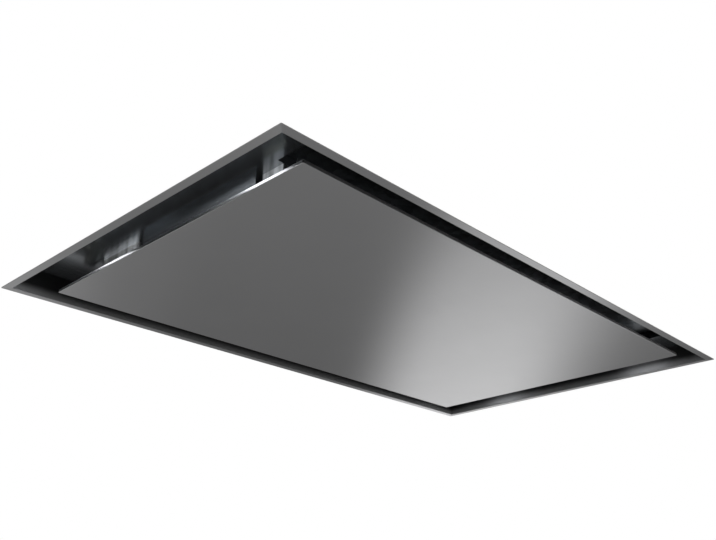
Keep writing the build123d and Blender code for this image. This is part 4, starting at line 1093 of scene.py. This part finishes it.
class HOOD_OT_stage(bpy.types.Operator):
    """Camera, soft studio light, pale floor and ceiling board, and the reflection bowl"""

    bl_idname = "hood.stage"
    bl_label = "Stage"

    def execute(self, context):
        stage = context.scene.hood_stage
        context.scene.view_settings.view_transform = "Standard"
        self.place_camera(context.scene, stage)
        self.make_world(context.scene)
        softbox("high_softbox", (-1.5, -2.0, 3.0), 2.5, stage.high_power, target=(0, 0, 0.1))
        flaps = [name for name in nodes if name.startswith(("hinge_carrier", "catch_carrier"))]
        softbox("flap_softbox", (-1.43, 1.82, -1.22), 1.0, 1.4 * stage.low_power, flaps)
        softbox("recess_softbox", (-1.77, 1.22, -1.46), 0.8, 0.8 * stage.low_power, ["recess_pan"])
        self.make_floor()
        self.make_ceiling_board()
        self.make_reflection_bowl(stage)
        return {"FINISHED"}

    def place_camera(self, scene, stage):
        """The photograph's camera: below the hood's near left corner and looking up along it."""
        data = bpy.data.cameras.new("camera")
        data.sensor_width = 36.0
        data.lens = stage.lens
        data.shift_x = 0.0411
        camera = bpy.data.objects.new("camera", data)
        scene.collection.objects.link(camera)
        camera.location = stage.camera_place
        forward, up = Vector((0.6536, 0.6386, 0.4053)).normalized(), Vector((-0.286, -0.285, 0.914))
        right = forward.cross(up).normalized()
        camera.rotation_mode = "QUATERNION"
        turn = Matrix((right, right.cross(forward), -forward)).transposed()
        camera.rotation_quaternion = turn.to_quaternion()
        scene.camera = camera

    def make_world(self, scene):
        """Grey room light on the object, and white where a ray looks past it."""
        world = bpy.data.worlds.new("studio")
        scene.world = world
        world.use_nodes = True
        world.node_tree.nodes.clear()
        add = partial(add_node, world.node_tree)
        room = add("Background", Color=(0.36, 0.36, 0.37, 1), Strength=1.0)
        white = add("Background", Color=(1, 1, 1, 1), Strength=1.0)
        add("OutputWorld", Surface=add("MixShader", i0=looked_at(add), i1=room, i2=white))

    def make_floor(self):
        """A painted floor far below: nearly white, with the hood's shadow. Steel doesn't mirror it."""
        radius, depth = 2.4, 2.4
        bm = bmesh.new()
        bmesh.ops.create_circle(bm, cap_ends=True, radius=radius, segments=96)
        material, add = new_material("painted_floor")
        grain = add("TexNoise", Scale=1.0, Detail=2.0, Vector=pattern_space(add, 3))
        tone = add("Mix", {"data_type": "RGBA"}, i0=grain, i6=linear("E4E4E2"), i7=linear("EAEAE8"))
        paint = add("BsdfDiffuse", Color=tone)
        white = add("Emission", Color=(1, 1, 1, 1), Strength=1.0)
        share = add("Math", {"operation": "MULTIPLY"}, i0=looked_at(add), i1=0.8)
        finish_material(material, add, "MixShader", i0=share, i1=paint, i2=white)
        floor = stage_piece("floor", bm, material)
        floor.location.z = -depth
        floor.visible_glossy = False

    def make_ceiling_board(self):
        """The ceiling that the trim lies under, with its cut-out. From below it is the white background."""
        board, cut_out, underside, top = (700, 620), (444, 243.5), 1.2, 13.7
        bm = bmesh.new()
        loops = [
            [bm.verts.new(mm(sx * x, sy * y, z)) for sx, sy in ((-1, -1), (1, -1), (1, 1), (-1, 1))]
            for (x, y), z in ((board, underside), (cut_out, underside), (cut_out, top), (board, top))
        ]
        bridge(bm, loops, closed=True)
        bmesh.ops.recalc_face_normals(bm, faces=bm.faces)
        material, add = new_material("painted_plasterboard")
        seen = add("LightPath").outputs["Is Camera Ray"]
        facing = add("SeparateXYZ", Vector=add("NewGeometry").outputs["Normal"]).outputs["Z"]
        below = add("Math", {"operation": "LESS_THAN"}, i0=facing, i1=0.5)
        share = add("Math", {"operation": "MULTIPLY"}, i0=seen, i1=below)
        paint = add("BsdfDiffuse", Color=linear("EDEDEB"))
        white = add("Emission", Color=(1, 1, 1, 1), Strength=1.0)
        finish_material(material, add, "MixShader", i0=share, i1=paint, i2=white)
        stage_piece("ceiling_board", bm, material)

    def make_reflection_bowl(self, stage):
        """What brushed steel mirrors in a studio: a lit strip between grey flags, seen by glossy rays alone.

        Without it, the steel would mirror the white floor and burn out. The strip and the flags run along Y,
        and change with the height from which they are mirrored."""
        radius, rim = 4.0, 0.01
        bm = bmesh.new()
        bmesh.ops.create_uvsphere(bm, u_segments=96, v_segments=64, radius=radius)
        bmesh.ops.delete(bm, geom=[vert for vert in bm.verts if vert.co.z > rim], context="VERTS")
        material, add = new_material("grey_flags_with_light_strip")
        unit = add("VectorMath", {"operation": "NORMALIZE"}, i0=add("TexCoord").outputs["Object"])
        axes = add("SeparateXYZ", Vector=unit).outputs
        curve = add("ValToRGB", Fac=add("Math", {"operation": "ABSOLUTE"}, i0=axes["X"]))
        curve.color_ramp.interpolation = "EASE"
        while len(curve.color_ramp.elements) < len(LIGHT_STRIP):
            curve.color_ramp.elements.new(0.5)
        for element, (position, value) in zip(curve.color_ramp.elements, LIGHT_STRIP):
            element.position = position
            element.color = (value, value, value, 1)
        rise = add(
            "MapRange", Value=axes["Z"], From_Min=-0.5, From_Max=-0.3, To_Min=0.12 * stage.strip_strength,
            To_Max=1.42 * stage.strip_strength,
        )
        strip = add("Math", {"operation": "MULTIPLY"}, i0=curve, i1=rise)
        flags = add(
            "MapRange", Value=axes["Z"], From_Min=-0.6, From_Max=-0.2, To_Min=2.8 * stage.flag_strength,
            To_Max=0.5 * stage.flag_strength,
        )
        total = add("Math", {"operation": "ADD"}, i0=strip, i1=flags)
        finish_material(material, add, "Emission", Color=total, Strength=1.0)
        bowl = stage_piece("reflection_bowl", bm, material)
        for ray in ("camera", "diffuse", "shadow", "transmission"):
            setattr(bowl, f"visible_{ray}", False)


# ---- the add-on's panel and its registration ----

OPERATORS = (
    HOOD_OT_trim_and_panel, HOOD_OT_recess, HOOD_OT_lamps, HOOD_OT_filters, HOOD_OT_housing, HOOD_OT_blower,
    HOOD_OT_duct, HOOD_OT_electrics, HOOD_OT_conduits, HOOD_OT_fasteners, HOOD_OT_stage,
)
GROUPS = {"hood_finishes": HoodFinishes, "hood_sizes": HoodFineSizes, "hood_stage": HoodStage}


class HOOD_PT_looks(bpy.types.Panel):
    """The hood's finishes, pieces and stage"""

    bl_label = "Ceiling range hood"
    bl_idname = "HOOD_PT_looks"
    bl_space_type = "VIEW_3D"
    bl_region_type = "UI"
    bl_category = "Hood"

    def draw(self, context):
        for group in (getattr(context.scene, name) for name in GROUPS):
            box = self.layout.box()
            for name in group.__annotations__:
                box.prop(group, name)
        for operator in OPERATORS:
            self.layout.operator(operator.bl_idname)


def register():
    for made in (*GROUPS.values(), *OPERATORS, HOOD_PT_looks):
        bpy.utils.register_class(made)
    for name, group in GROUPS.items():
        setattr(bpy.types.Scene, name, PointerProperty(type=group))


def unregister():
    for name in GROUPS:
        delattr(bpy.types.Scene, name)
    for made in reversed((*GROUPS.values(), *OPERATORS, HOOD_PT_looks)):
        bpy.utils.unregister_class(made)


def main():
    register()
    for operator in OPERATORS:
        getattr(bpy.ops.hood, operator.bl_idname.split(".")[1])()


if __name__ == "__main__":
    main()
